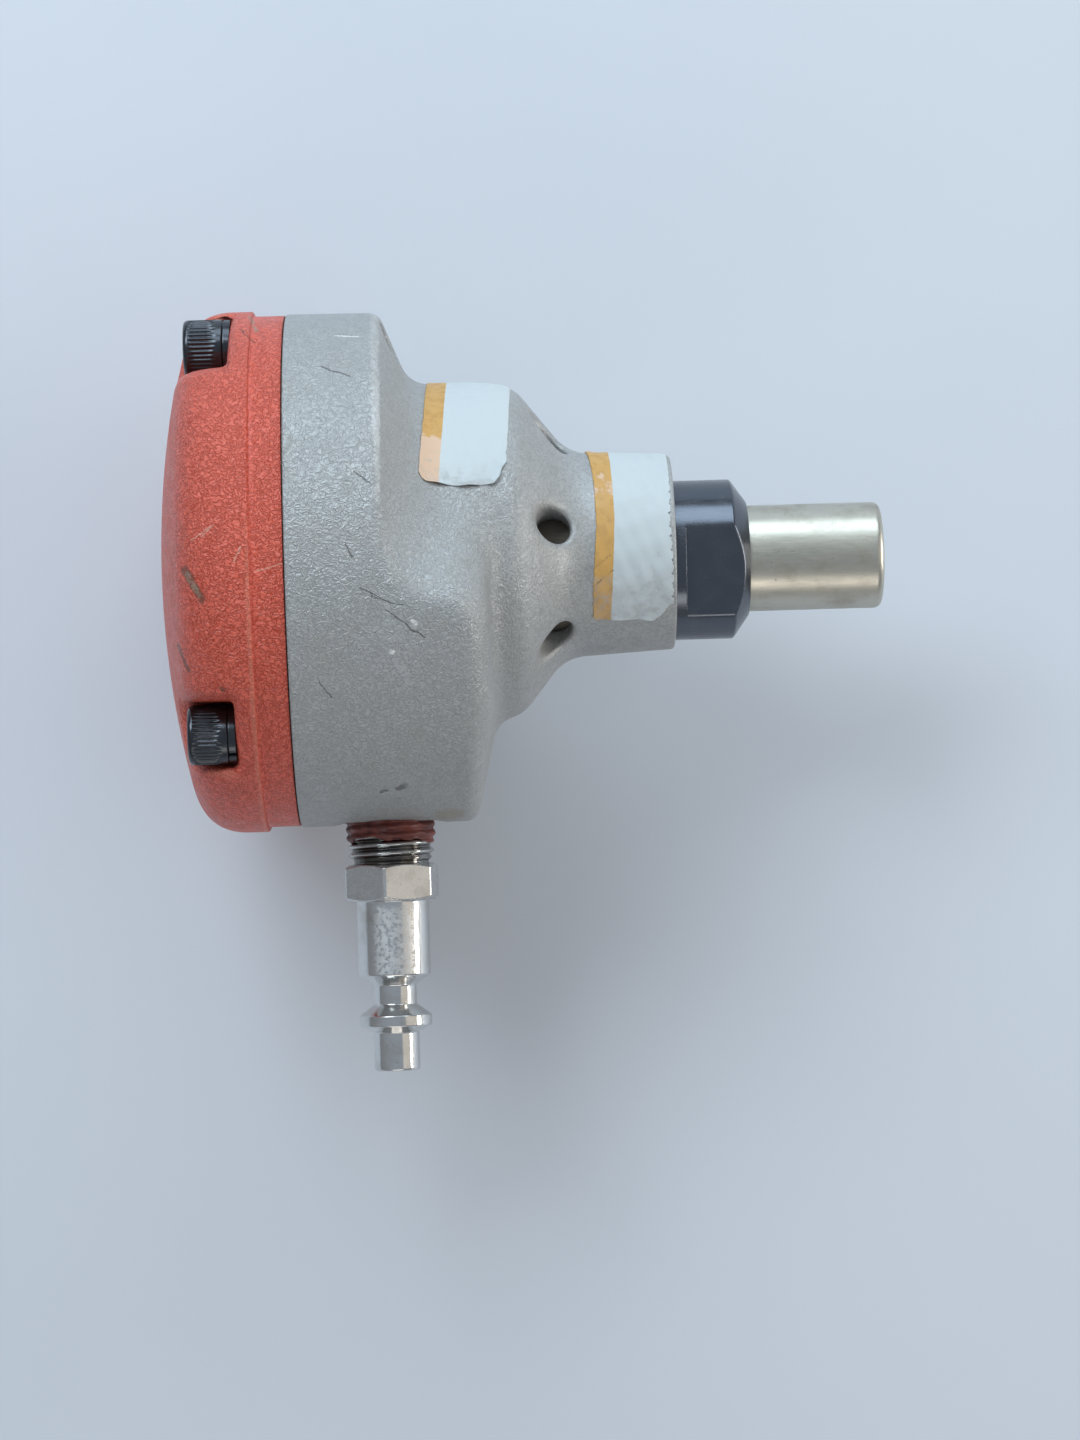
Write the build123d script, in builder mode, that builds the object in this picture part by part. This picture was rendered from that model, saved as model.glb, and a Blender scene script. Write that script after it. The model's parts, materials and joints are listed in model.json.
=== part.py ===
from build123d import *

import os
from math import cos, hypot, radians, sin, sqrt, tan

# Palm nailer, an air-driven hand tool lying on its side, in millimetres.
# The drive axis is X. The origin is the middle of the nose mouth and +X is the way a nail leaves.
# The air plug points along -Y, and +Z is up as the tool lies. Angles round the tool go from +Y to +Z.

os.makedirs("parts", exist_ok=True)

# Radial clearances
run_clear = 0.05  # pieces that slide on each other
seat_clear = 0.03  # pieces that are pressed or screwed together
stop_clear = 0.3  # pieces that stop short of each other

# Nose tube, its magnet and its guide
nose_d = 17.5
nose_wall = 1.75
nose_reach = 22.1  # tube in front of the retainer
nose_tip_round = 1.2
nose_flange_gap = 0.6  # inside the retainer's shank
nose_flange_length = 4.0
nail_bore_gap = 0.75  # round the driver
nail_bore_depth = 8.0
magnet_length = 6.0
magnet_setback = 0.3  # magnet stands back from the nail bore

# Retainer, a round gland with two wrench flats
retainer_d = 26.3
retainer_flats = 21.8
retainer_flat_length = 11.5
retainer_front_land = 0.75  # flat ring round the nose
retainer_chamfer = 2.6
retainer_collar_length = 2.0
retainer_shank_step = 1.65  # inside the collar
retainer_shank_length = 7.4
retainer_turn = 13.8  # degrees that the upper flat leans to the plug side
retainer_groove_depth = 1.1
retainer_groove_width = 1.4
retainer_groove_setback = 0.8

# Housing, from the nose end to the parting face
casting_offset = 1.4  # neck, cone and barrel stand off the drive axis, away from the inlet
neck_end_d = 32.0
neck_flare = 0.9
neck_length = 16.2
neck_blend = 7.5
cone_length = 8.1
cone_blend = 6.0
barrel_lead_drop = 0.9
barrel_lead = 6.1
barrel_d = 56.0
barrel_length = 16.9
flange_d = 84.4
flange_length = 13.8
flange_round = 2.5
shoulder_slope = 22.0  # degrees
shoulder_blend = 4.0
draft = 1.5  # degrees, on the flange and the lobe

# Inlet lobe, a wide boss that runs forward from the flange on the plug side
lobe_reach = 33.7  # parting face to the front of the lobe
lobe_inset = 0.3  # lobe's skin inside the flange's
lobe_spread = 43.0  # degrees, slope of the flanks that rise from the barrel
lobe_flank_sink = 3.0  # depth of the flank planes below the barrel's skin
lobe_shoulder_round = 14.0
lobe_front_break = 24.0  # where the front starts to lean back, below the drive axis
lobe_lean = 10.5  # degrees
lobe_lean_round = 40.0
lobe_edge_round = 5.0

# Spaces inside the housing
neck_wall_step = 1.3  # web reaches this far in front of the cone
chamber_wall = 3.4
liner_seat_length = 8.0
barrel_wall = 4.5

# Exhaust holes through the cone
exhaust_count = 6
exhaust_d = 6.0
exhaust_setback = 2.2  # behind the front of the cone
exhaust_rim = 0.5
muffler_thickness = 2.0
muffler_length = 7.0

# Cap
cap_band_inset = 0.2  # inside the flange
cap_band_length = 4.8
cap_rim_step = 0.6  # outside the flange
cap_rim_length = 9.95
cap_crown_radius = 150.0
cap_flat_d = 10.0  # level spot in the middle of the crown
cap_edge_round = 7.9
cap_step_round = 0.35
cap_cavity_step = 0.5  # wider than the reservoir
cap_roof = 6.0
pocket_clear = 0.3  # round the screw head
pocket_depth_left = 8.3  # cap metal between the cap face and the pocket floor
gasket_thickness = 0.5
gasket_inset = 0.5

# Cap screws and lock washers
screw_count = 3
screw_phase = 17.0  # degrees, also of the exhaust holes
screw_inset = 4.8  # inside the flange
screw_d = 6.2
screw_length = 25.4
screw_head_d = 9.5
screw_head_height = 6.35
screw_head_round = 0.5
screw_hole_clear = 0.3
screw_tip_clear = 3.35  # tapped hole past the end of the screw
socket_flats = 4.76
socket_depth = 3.2
washer_inset = 0.1  # inside the screw head
washer_thickness = 1.35
washer_split = 0.9

# Cylinder liner and bumper
reservoir_gap = 4.0  # round the liner
liner_wall = 2.5
liner_flange_lap = 0.7  # on the housing's step
liner_flange_length = 3.0
liner_groove_depth = 1.2
liner_groove_width = 1.8
liner_port_count = 8
liner_port_d = 3.0
liner_port_drop = 6.0  # below the parting face
bumper_length = 6.0
bumper_bore_gap = 1.75  # round the driver
bumper_clear = 0.2
bumper_edge_round = 0.6

# Valve stack under the cap
valve_seat_thickness = 3.5
valve_cage_height = 6.0
valve_disc_d = 24.0
valve_disc_thickness = 1.2
valve_disc_clear = 0.4
valve_lift = 1.0
valve_gap = 0.1
valve_port_count = 6
valve_port_d = 4.0
supply_count = 8
supply_d = 2.4
cushion_gap = 0.8  # inside the supply holes
cushion_width = 6.5
cushion_slot_width = 4.0
cushion_slot_depth = 2.0

# Hammer: piston, rings, driver and pin
hammer_forward = 7.2  # travel from rest to the bumper
piston_length = 14.0
piston_hub_d = 14.0
piston_skirt = 3.45
piston_recess_depth = 7.0
ring_depth = 1.5
ring_width = 2.0
ring_setback = 2.5
ring_pitch = 3.8
driver_d = 9.5
driver_rest_recess = 9.0  # tip behind the nose mouth at rest
driver_tip_chamfer = 0.6
spigot_step = 0.85  # inside the driver
spigot_length = 12.0
pin_d = 2.5
pin_setback = 9.5  # behind the front of the piston

# Guide bush and driver seal
bush_wall = 3.2
bush_flange_gap = 0.5  # inside the muffler
bush_flange_length = 4.0
seal_width = 2.7
seal_length = 2.5

# Air plug and inlet
inlet_setback = 0.7  # in front of the shoulder's edge
inlet_thread_d = 12.8
inlet_passage_d = 8.0
inlet_flat_depth = 0.5
inlet_flat_margin = 2.6  # round the thread
screen_thickness = 1.2
screen_hole_d = 1.6
screen_hole_pitch = 3.6
plug_engagement = 10.0
plug_gap = 1.5  # between the plug's end and the screen
plug_thread_exposed = 7.0
plug_hex_flats = 14.29
plug_hex_length = 6.0
plug_hex_chamfer_angle = 25.0
plug_turn = 38.0  # degrees, from a corner towards the nose
plug_shank_d = 11.9
plug_shank_length = 12.2
plug_taper_length = 1.6
plug_neck_d = 7.0
plug_neck_length = 3.2
plug_collar_d = 11.9
plug_collar_rise = 1.8
plug_collar_length = 1.7
plug_collar_fall = 1.1
plug_tip_d = 7.5
plug_tip_length = 6.3
plug_bore_d = 5.2

# Places along the drive axis, from the nose mouth at 0 to the crown of the cap
x_retainer = -nose_reach
x_collar = x_retainer - retainer_flat_length
x_neck_end = x_collar - retainer_collar_length
x_nose_flange = x_neck_end - retainer_shank_length
x_neck_floor = x_nose_flange - nose_flange_length
x_cone = x_neck_end - neck_length
x_web = x_cone + neck_wall_step
x_barrel_front = x_cone - cone_length
x_barrel = x_barrel_front - barrel_lead
x_shoulder = x_barrel - barrel_length
x_parting = x_shoulder - flange_length
x_cap_face = x_parting - gasket_thickness
x_band = x_cap_face - cap_band_length
x_pocket = x_cap_face - pocket_depth_left
x_under_head = x_pocket - washer_thickness
x_screw_tip = x_under_head + screw_length
x_liner_floor = x_barrel_front
x_liner_seat = x_liner_floor - liner_seat_length
x_liner_step = x_parting + liner_flange_length
x_bumper = x_liner_floor - bumper_length
x_piston = x_bumper - stop_clear - hammer_forward
x_seat_top = x_parting - valve_seat_thickness
x_cage_top = x_seat_top - valve_cage_height
x_exhaust = x_cone - exhaust_setback
x_inlet = x_shoulder + inlet_setback
x_magnet = -nail_bore_depth
x_guide = x_magnet - magnet_length

# Radii that several pieces share
nose_r = nose_d / 2
nose_inner_r = nose_r - nose_wall
collar_r = retainer_d / 2
shank_r = collar_r - retainer_shank_step
neck_bore_r = shank_r + seat_clear
nose_flange_r = shank_r - nose_flange_gap
neck_end_r = neck_end_d / 2
neck_root_r = neck_end_r + neck_flare
driver_r = driver_d / 2
driver_guide_r = driver_r + run_clear
nail_bore_r = driver_r + nail_bore_gap
spigot_r = driver_r - spigot_step
bush_r = driver_guide_r + bush_wall
seal_r = driver_guide_r + seal_width
chamber_r = neck_root_r - chamber_wall
muffler_r = chamber_r - seat_clear
bush_flange_r = muffler_r - muffler_thickness - bush_flange_gap
barrel_r = barrel_d / 2
reservoir_r = barrel_r - barrel_wall
liner_r = reservoir_r - reservoir_gap
liner_bore_r = liner_r - liner_wall
liner_seat_r = liner_r + seat_clear
liner_flange_r = reservoir_r + liner_flange_lap
piston_r = liner_bore_r - run_clear
flange_r = flange_d / 2
band_r = flange_r - cap_band_inset
rim_r = flange_r + cap_rim_step
cap_cavity_r = reservoir_r + cap_cavity_step
stack_r = cap_cavity_r - run_clear
screw_r = screw_d / 2
screw_hole_r = screw_r + screw_hole_clear
screw_head_r = screw_head_d / 2
screw_circle_r = flange_r - screw_inset
pocket_r = screw_head_r + pocket_clear
valve_disc_r = valve_disc_d / 2
valve_port_circle_r = valve_disc_r - valve_port_d
supply_circle_r = (liner_r + reservoir_r) / 2
inlet_r = inlet_thread_d / 2

# The cap's crown, a shallow dome with a level spot in its middle
crown_flat_r = cap_flat_d / 2
crown_drop = sqrt(cap_crown_radius**2 - crown_flat_r**2) - sqrt(cap_crown_radius**2 - rim_r**2)
x_crown_edge = x_band - cap_rim_length
x_crown = x_crown_edge - crown_drop
x_ceiling = x_crown + cap_roof

# Places along the inlet axis, from the lobe outwards
y_inlet_flat = -(flange_r - inlet_flat_depth)
y_plug_end = y_inlet_flat + plug_engagement
y_inlet_floor = y_plug_end + plug_gap + screen_thickness
y_hex = y_inlet_flat - plug_thread_exposed
y_shank = y_hex - plug_hex_length
y_taper = y_shank - plug_shank_length
y_plug_neck = y_taper - plug_taper_length
y_collar = y_plug_neck - plug_neck_length
y_collar_rim = y_collar - plug_collar_rise
y_collar_back = y_collar_rim - plug_collar_length
y_tip = y_collar_back - plug_collar_fall
y_plug_tip = y_tip - plug_tip_length

casting_axis = Axis((0, casting_offset, 0), (1, 0, 0))
inlet_axis = Axis((x_inlet, 0, 0), (0, 1, 0))


def across(x):
    # Plane across the drive axis at x, with +Y and +Z as its own axes
    return Plane(origin=(x, 0, 0), x_dir=(0, 1, 0), z_dir=(1, 0, 0))


def turn(points, axis=Axis.X, mode=Mode.ADD):
    # Turned form: the outline through the points, swung round the axis
    with BuildSketch(Plane.XY) as outline:
        with BuildLine():
            Polyline(*points, close=True)
        make_face()
    revolve(outline.sketch, axis=axis, mode=mode)


def turn_ring(x_front, x_back, r_out, r_in, mode=Mode.ADD):
    # Plain ring round the drive axis
    turn([(x_front, r_in), (x_front, r_out), (x_back, r_out), (x_back, r_in)], mode=mode)


def turn_rod(x_front, x_back, r, mode=Mode.ADD):
    # Plain round bar on the drive axis
    turn_ring(x_front, x_back, r, 0, mode=mode)


def torus_ring(x, r_inside, r_outside):
    # Round-section ring that just clears a groove floor and a bore
    section_r = (r_outside - r_inside) / 2 - run_clear
    with BuildSketch(Plane.XY) as section:
        with Locations((x, (r_outside + r_inside) / 2)):
            Circle(section_r)
    revolve(section.sketch, axis=Axis.X)


def finish(builder, name):
    # Label a finished piece and write it
    builder.part.label = name
    export_step(builder.part, f"parts/{name}.step")


# Housing flange with its sloped shoulder
shoulder_r = flange_r - flange_length * tan(radians(draft))
with BuildPart() as flange:
    with BuildSketch(Plane.XY) as flange_outline:
        with BuildLine():
            Polyline(
                (x_parting, 0),
                (x_parting, flange_r),
                (x_shoulder, shoulder_r),
                (x_shoulder + shoulder_r * tan(radians(shoulder_slope)), 0),
                close=True,
            )
        make_face()
        fillet(flange_outline.vertices().sort_by_distance((x_shoulder, shoulder_r, 0))[0], flange_round)
    revolve(axis=Axis.X)

# Inlet lobe: the flange's round, cut by two flanks that rise from the barrel
flank_foot = barrel_r - lobe_flank_sink
flank_y = casting_offset + flank_foot * sin(radians(lobe_spread))
flank_z = flank_foot * cos(radians(lobe_spread))
flank_end_y = flank_y - flange_d * cos(radians(lobe_spread))
flank_end_z = flank_z + flange_d * sin(radians(lobe_spread))
x_lobe = x_parting + lobe_reach
lobe_foot_x = x_lobe - (flange_d - lobe_front_break) * tan(radians(lobe_lean))
with BuildPart() as lobe:
    with BuildSketch(across(x_parting)) as lobe_section:
        Circle(flange_r - lobe_inset)
        Polygon(
            (flank_y, flank_z),
            (flank_end_y, flank_end_z),
            (flank_end_y, -flank_end_z),
            (flank_y, -flank_z),
            align=None,
            mode=Mode.INTERSECT,
        )
        fillet(lobe_section.vertices().group_by(Axis.X)[0], lobe_shoulder_round)
    extrude(amount=lobe_reach + lobe_edge_round, taper=draft)
    with BuildSketch(Plane.XY) as lobe_side:
        Polygon(
            (x_parting, flange_r),
            (x_lobe, flange_r),
            (x_lobe, -lobe_front_break),
            (lobe_foot_x, -flange_d),
            (x_parting, -flange_d),
            align=None,
        )
        fillet(lobe_side.vertices().sort_by_distance((x_lobe, -lobe_front_break, 0))[0], lobe_lean_round)
    extrude(amount=flange_d, both=True, mode=Mode.INTERSECT)
    front_edges = lobe.edges().filter_by(lambda e: e.center().X > x_lobe - lobe_reach / 3)
    fillet(front_edges.filter_by(Axis.Z, reverse=True), lobe_edge_round)

# Barrel, exhaust cone and neck, turned about the casting's own axis
cone_corner = (x_barrel_front, casting_offset + barrel_r - barrel_lead_drop, 0)
neck_corner = (x_cone, casting_offset + neck_root_r, 0)
with BuildPart() as barrel:
    with BuildSketch(Plane.XY) as barrel_outline:
        with BuildLine():
            Polyline(
                (x_shoulder, casting_offset),
                (x_shoulder, casting_offset + barrel_r),
                (x_barrel, casting_offset + barrel_r),
                cone_corner,
                neck_corner,
                (x_neck_end, casting_offset + neck_end_r),
                (x_neck_end, casting_offset),
                close=True,
            )
        make_face()
        fillet(barrel_outline.vertices().sort_by_distance(cone_corner)[0], cone_blend)
        fillet(barrel_outline.vertices().sort_by_distance(neck_corner)[0], neck_blend)
    revolve(axis=casting_axis)

# Housing: the three forms in one casting, then its bores, holes and threads
with BuildPart() as housing:
    add(flange.part)
    add(lobe.part)
    add(barrel.part)
    slope_r = (barrel_r + flange_r) / 2
    slope_point = (x_shoulder + (shoulder_r - slope_r) * tan(radians(shoulder_slope)), slope_r, 0)
    shoulder_face = housing.faces().sort_by_distance(slope_point)[0]
    foot_edges = shoulder_face.edges().filter_by(lambda e: hypot(e.center().Y, e.center().Z) < slope_r)
    fillet(foot_edges, shoulder_blend)
    for index in range(exhaust_count):
        angle = radians(screw_phase + index * 360 / exhaust_count)
        outward = (0, cos(angle), sin(angle))
        radial = Plane(origin=(x_exhaust, casting_offset, 0), x_dir=(1, 0, 0), z_dir=outward)
        with BuildSketch(radial.offset(bush_flange_r - casting_offset)):
            Circle(exhaust_d / 2)
        extrude(amount=barrel_r, mode=Mode.SUBTRACT)
        fillet(housing.edges(Select.LAST).filter_by(GeomType.BSPLINE), exhaust_rim)
    turn_rod(x_neck_end, x_neck_floor, neck_bore_r, mode=Mode.SUBTRACT)
    turn_rod(x_neck_floor, x_web, bush_r + seat_clear, mode=Mode.SUBTRACT)
    turn_rod(x_web, x_liner_floor, chamber_r, mode=Mode.SUBTRACT)
    turn_rod(x_liner_floor, x_liner_seat, liner_seat_r, mode=Mode.SUBTRACT)
    turn_rod(x_liner_seat, x_parting, reservoir_r, mode=Mode.SUBTRACT)
    turn_rod(x_liner_step, x_parting, liner_flange_r + seat_clear, mode=Mode.SUBTRACT)
    with BuildSketch(across(x_parting)):
        with PolarLocations(screw_circle_r, screw_count, start_angle=screw_phase):
            Circle(screw_r + seat_clear)
    extrude(amount=x_screw_tip + screw_tip_clear - x_parting, mode=Mode.SUBTRACT)
    inlet_plane = Plane(origin=(x_inlet, 0, 0), x_dir=(1, 0, 0), z_dir=(0, -1, 0))
    with BuildSketch(inlet_plane.offset(-y_inlet_flat)):
        Circle(inlet_r + inlet_flat_margin)
    extrude(amount=flange_r, mode=Mode.SUBTRACT)
    with BuildSketch(inlet_plane.offset(-y_inlet_floor)):
        Circle(inlet_r + seat_clear)
    extrude(amount=y_inlet_floor - y_inlet_flat, mode=Mode.SUBTRACT)
    with BuildSketch(inlet_plane.offset(liner_r)):
        Circle(inlet_passage_d / 2)
    extrude(amount=-y_inlet_floor - liner_r, mode=Mode.SUBTRACT)
finish(housing, "housing")

# Cap: a shallow dome on a stepped rim, with a pocket at each screw that opens up or down
with BuildPart() as cap:
    with BuildSketch(Plane.XY) as cap_outline:
        with BuildLine():
            Polyline(
                (x_crown, crown_flat_r),
                (x_crown, 0),
                (x_cap_face, 0),
                (x_cap_face, band_r),
                (x_band, band_r),
                (x_band, rim_r),
                (x_crown_edge, rim_r),
            )
            RadiusArc((x_crown_edge, rim_r), (x_crown, crown_flat_r), -cap_crown_radius)
        make_face()
        fillet(cap_outline.vertices().sort_by_distance((x_crown_edge, rim_r, 0))[0], cap_edge_round)
        fillet(cap_outline.vertices().sort_by_distance((x_band, rim_r, 0))[0], cap_step_round)
        fillet(cap_outline.vertices().sort_by_distance((x_band, band_r, 0))[0], cap_step_round)
    revolve(axis=Axis.X)
    turn_rod(x_cap_face, x_ceiling, cap_cavity_r, mode=Mode.SUBTRACT)
    with BuildSketch(across(x_cap_face)):
        with PolarLocations(screw_circle_r, screw_count, start_angle=screw_phase):
            Circle(screw_hole_r)
    extrude(amount=-pocket_depth_left, mode=Mode.SUBTRACT)
    with BuildSketch(across(x_pocket)):
        for index in range(screw_count):
            angle = radians(screw_phase + index * 360 / screw_count)
            draw = 90 if sin(angle) > 0 else 270
            with Locations((screw_circle_r * cos(angle), screw_circle_r * sin(angle))):
                Circle(pocket_r)
                Rectangle(rim_r, 2 * pocket_r, rotation=draw, align=(Align.MIN, Align.CENTER))
    extrude(amount=x_crown - x_pocket, mode=Mode.SUBTRACT)
finish(cap, "cap")

# Flat gasket between cap and housing
with BuildPart() as cap_gasket:
    with BuildSketch(across(x_parting)):
        Circle(band_r - gasket_inset)
        Circle(liner_flange_r, mode=Mode.SUBTRACT)
        with PolarLocations(screw_circle_r, screw_count, start_angle=screw_phase):
            Circle(screw_hole_r, mode=Mode.SUBTRACT)
    extrude(amount=-gasket_thickness)
finish(cap_gasket, "cap_gasket")

# Cap screws: round head with a hexagon socket, on a plain shank
x_head_top = x_under_head - screw_head_height
with BuildPart() as cap_screws:
    with BuildSketch(across(x_under_head)):
        with PolarLocations(screw_circle_r, screw_count, start_angle=screw_phase):
            Circle(screw_head_r)
    extrude(amount=-screw_head_height)
    fillet(cap_screws.edges().group_by(Axis.X)[0], screw_head_round)
    with BuildSketch(across(x_under_head)):
        with PolarLocations(screw_circle_r, screw_count, start_angle=screw_phase):
            Circle(screw_r)
    extrude(amount=screw_length)
    with BuildSketch(across(x_head_top)):
        with PolarLocations(screw_circle_r, screw_count, start_angle=screw_phase):
            RegularPolygon(socket_flats / 2, 6, major_radius=False)
    extrude(amount=socket_depth, mode=Mode.SUBTRACT)
finish(cap_screws, "cap_screws")

# Lock washers, each cut through at one side
with BuildPart() as lock_washers:
    with BuildSketch(across(x_pocket)):
        with PolarLocations(screw_circle_r, screw_count, start_angle=screw_phase):
            Circle(screw_head_r - washer_inset)
            Circle(screw_hole_r, mode=Mode.SUBTRACT)
            Rectangle(screw_head_r, washer_split, align=(Align.MIN, Align.CENTER), mode=Mode.SUBTRACT)
    extrude(amount=-washer_thickness)
finish(lock_washers, "lock_washers")

# Cylinder liner: flange at the cap end, seal groove at the nose end, ring of air ports
x_liner_groove = (x_liner_floor + x_liner_seat + liner_groove_width) / 2
x_groove_back = x_liner_groove - liner_groove_width
x_port = x_parting + liner_port_drop
liner_groove_r = liner_r - liner_groove_depth
with BuildPart() as cylinder:
    turn_ring(x_liner_floor, x_parting, liner_r, liner_bore_r)
    turn_ring(x_liner_step, x_parting, liner_flange_r, liner_bore_r)
    turn_ring(x_liner_groove, x_groove_back, liner_r, liner_groove_r, mode=Mode.SUBTRACT)
    for index in range(liner_port_count):
        angle = radians(index * 360 / liner_port_count)
        outward = (0, cos(angle), sin(angle))
        with BuildSketch(Plane(origin=(x_port, 0, 0), x_dir=(1, 0, 0), z_dir=outward)):
            Circle(liner_port_d / 2)
        extrude(amount=reservoir_r, mode=Mode.SUBTRACT)
    with BuildSketch(across(x_parting)):
        with PolarLocations(supply_circle_r, supply_count, start_angle=180 / supply_count):
            Circle(supply_d / 2)
    extrude(amount=liner_flange_length, mode=Mode.SUBTRACT)
finish(cylinder, "cylinder")

# O-ring in the liner's groove
with BuildPart() as cylinder_seal:
    torus_ring((x_liner_groove + x_groove_back) / 2, liner_groove_r, liner_seat_r)
finish(cylinder_seal, "cylinder_seal")

# Bumper that stops the piston
with BuildPart() as bumper:
    turn_ring(x_liner_floor, x_bumper, liner_bore_r - bumper_clear, driver_r + bumper_bore_gap)
    fillet(bumper.edges().group_by(Axis.X)[0], bumper_edge_round)
finish(bumper, "bumper")

# Valve seat: plate on the liner with ports under the disc and supply holes outside
with BuildPart() as valve_seat:
    turn_rod(x_parting, x_seat_top, stack_r)
    with BuildSketch(across(x_parting)):
        with PolarLocations(valve_port_circle_r, valve_port_count):
            Circle(valve_port_d / 2)
        with PolarLocations(supply_circle_r, supply_count, start_angle=180 / supply_count):
            Circle(supply_d / 2)
    extrude(amount=-valve_seat_thickness, mode=Mode.SUBTRACT)
finish(valve_seat, "valve_seat")

# Valve cage: cup that guides the disc, with air holes in its roof
valve_chamber_r = valve_disc_r + valve_disc_clear
valve_chamber_height = valve_disc_thickness + valve_lift + 2 * valve_gap
with BuildPart() as valve_cage:
    turn_rod(x_seat_top, x_cage_top, stack_r)
    turn_rod(x_seat_top, x_seat_top - valve_chamber_height, valve_chamber_r, mode=Mode.SUBTRACT)
    with BuildSketch(across(x_seat_top)):
        with PolarLocations(valve_port_circle_r, valve_port_count, start_angle=180 / valve_port_count):
            Circle(valve_port_d / 2)
        with PolarLocations(supply_circle_r, supply_count, start_angle=180 / supply_count):
            Circle(supply_d / 2)
    extrude(amount=-valve_cage_height, mode=Mode.SUBTRACT)
finish(valve_cage, "valve_cage")

# Loose valve disc, lying just off its seat
x_disc = x_seat_top - valve_gap
with BuildPart() as valve_disc:
    turn_rod(x_disc, x_disc - valve_disc_thickness, valve_disc_r)
finish(valve_disc, "valve_disc")

# Cushion that presses the valve stack down, with slots that let the air in
cushion_r = supply_circle_r - supply_d / 2 - cushion_gap
with BuildPart() as cap_cushion:
    turn_ring(x_cage_top, x_ceiling, cushion_r, cushion_r - cushion_width)
    with BuildSketch(across(x_cage_top)):
        Rectangle(3 * cushion_r, cushion_slot_width)
        Rectangle(cushion_slot_width, 3 * cushion_r)
    extrude(amount=-cushion_slot_depth, mode=Mode.SUBTRACT)
finish(cap_cushion, "cap_cushion")

# Piston: crown with a hollow back, a hub for the driver and two ring grooves
x_piston_back = x_piston - piston_length
ring_fronts = [x_piston - ring_setback - index * ring_pitch for index in range(2)]
with BuildPart() as piston:
    turn_ring(x_piston, x_piston_back, piston_r, spigot_r + seat_clear)
    turn_ring(
        x_piston_back + piston_recess_depth,
        x_piston_back,
        piston_r - piston_skirt,
        piston_hub_d / 2,
        mode=Mode.SUBTRACT,
    )
    for x_ring in ring_fronts:
        turn_ring(x_ring, x_ring - ring_width, piston_r, piston_r - ring_depth, mode=Mode.SUBTRACT)
    with BuildSketch(Plane.XY.offset(-piston_hub_d / 2)):
        with Locations((x_piston - pin_setback, 0)):
            Circle(pin_d / 2 + seat_clear)
    extrude(amount=piston_hub_d, mode=Mode.SUBTRACT)
finish(piston, "piston")

# Piston rings
with BuildPart() as piston_rings:
    for x_ring in ring_fronts:
        turn_ring(
            x_ring - seat_clear,
            x_ring - ring_width + seat_clear,
            piston_r,
            piston_r - ring_depth + seat_clear,
        )
finish(piston_rings, "piston_rings")

# Driver: long round bar with a spigot in the piston
x_tip = -driver_rest_recess
x_spigot = x_piston - spigot_length
with BuildPart() as driver:
    turn(
        [
            (x_tip, 0),
            (x_tip, driver_r - driver_tip_chamfer),
            (x_tip - driver_tip_chamfer, driver_r),
            (x_piston, driver_r),
            (x_piston, spigot_r),
            (x_spigot, spigot_r),
            (x_spigot, 0),
        ]
    )
    with BuildSketch(Plane.XY.offset(-driver_r)):
        with Locations((x_piston - pin_setback, 0)):
            Circle(pin_d / 2 + seat_clear)
    extrude(amount=driver_d, mode=Mode.SUBTRACT)
finish(driver, "driver")

# Cross pin through hub and spigot
with BuildPart() as driver_pin:
    with BuildSketch(Plane.XY.offset(-piston_hub_d / 2 + stop_clear)):
        with Locations((x_piston - pin_setback, 0)):
            Circle(pin_d / 2)
    extrude(amount=piston_hub_d - 2 * stop_clear)
finish(driver_pin, "driver_pin")

# Guide bush in the web, with a seat for the driver seal
x_bush_back = x_web - bush_flange_length
x_seal = x_bush_back + seal_length
with BuildPart() as guide_bush:
    turn(
        [
            (x_neck_floor, driver_guide_r),
            (x_neck_floor, bush_r),
            (x_web, bush_r),
            (x_web, bush_flange_r),
            (x_bush_back, bush_flange_r),
            (x_bush_back, seal_r),
            (x_seal, seal_r),
            (x_seal, driver_guide_r),
        ]
    )
finish(guide_bush, "guide_bush")

# Lip seal round the driver
with BuildPart() as driver_seal:
    turn_ring(x_seal, x_bush_back, seal_r - seat_clear, driver_guide_r)
finish(driver_seal, "driver_seal")

# Porous ring behind the exhaust holes
with BuildPart() as exhaust_muffler:
    turn_ring(x_web, x_web - muffler_length, muffler_r, muffler_r - muffler_thickness)
finish(exhaust_muffler, "exhaust_muffler")

# Nose tube with a flange that the retainer clamps
with BuildPart() as nose:
    with BuildSketch(Plane.XY) as nose_outline:
        with BuildLine():
            Polyline(
                (0, nail_bore_r),
                (0, nose_r),
                (x_nose_flange, nose_r),
                (x_nose_flange, nose_flange_r),
                (x_neck_floor, nose_flange_r),
                (x_neck_floor, nose_inner_r),
                (x_magnet, nose_inner_r),
                (x_magnet, nail_bore_r),
                close=True,
            )
        make_face()
        fillet(nose_outline.vertices().sort_by_distance((0, nose_r, 0))[0], nose_tip_round)
    revolve(axis=Axis.X)
finish(nose, "nose")

# Ring magnet behind the mouth, a little wider than the nail bore
with BuildPart() as nose_magnet:
    turn_ring(x_magnet, x_guide, nose_inner_r - seat_clear, nail_bore_r + magnet_setback)
finish(nose_magnet, "nose_magnet")

# Sleeve that guides the driver through the nose
with BuildPart() as nose_guide:
    turn_ring(x_guide, x_neck_floor, nose_inner_r - seat_clear, driver_guide_r)
finish(nose_guide, "nose_guide")

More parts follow.
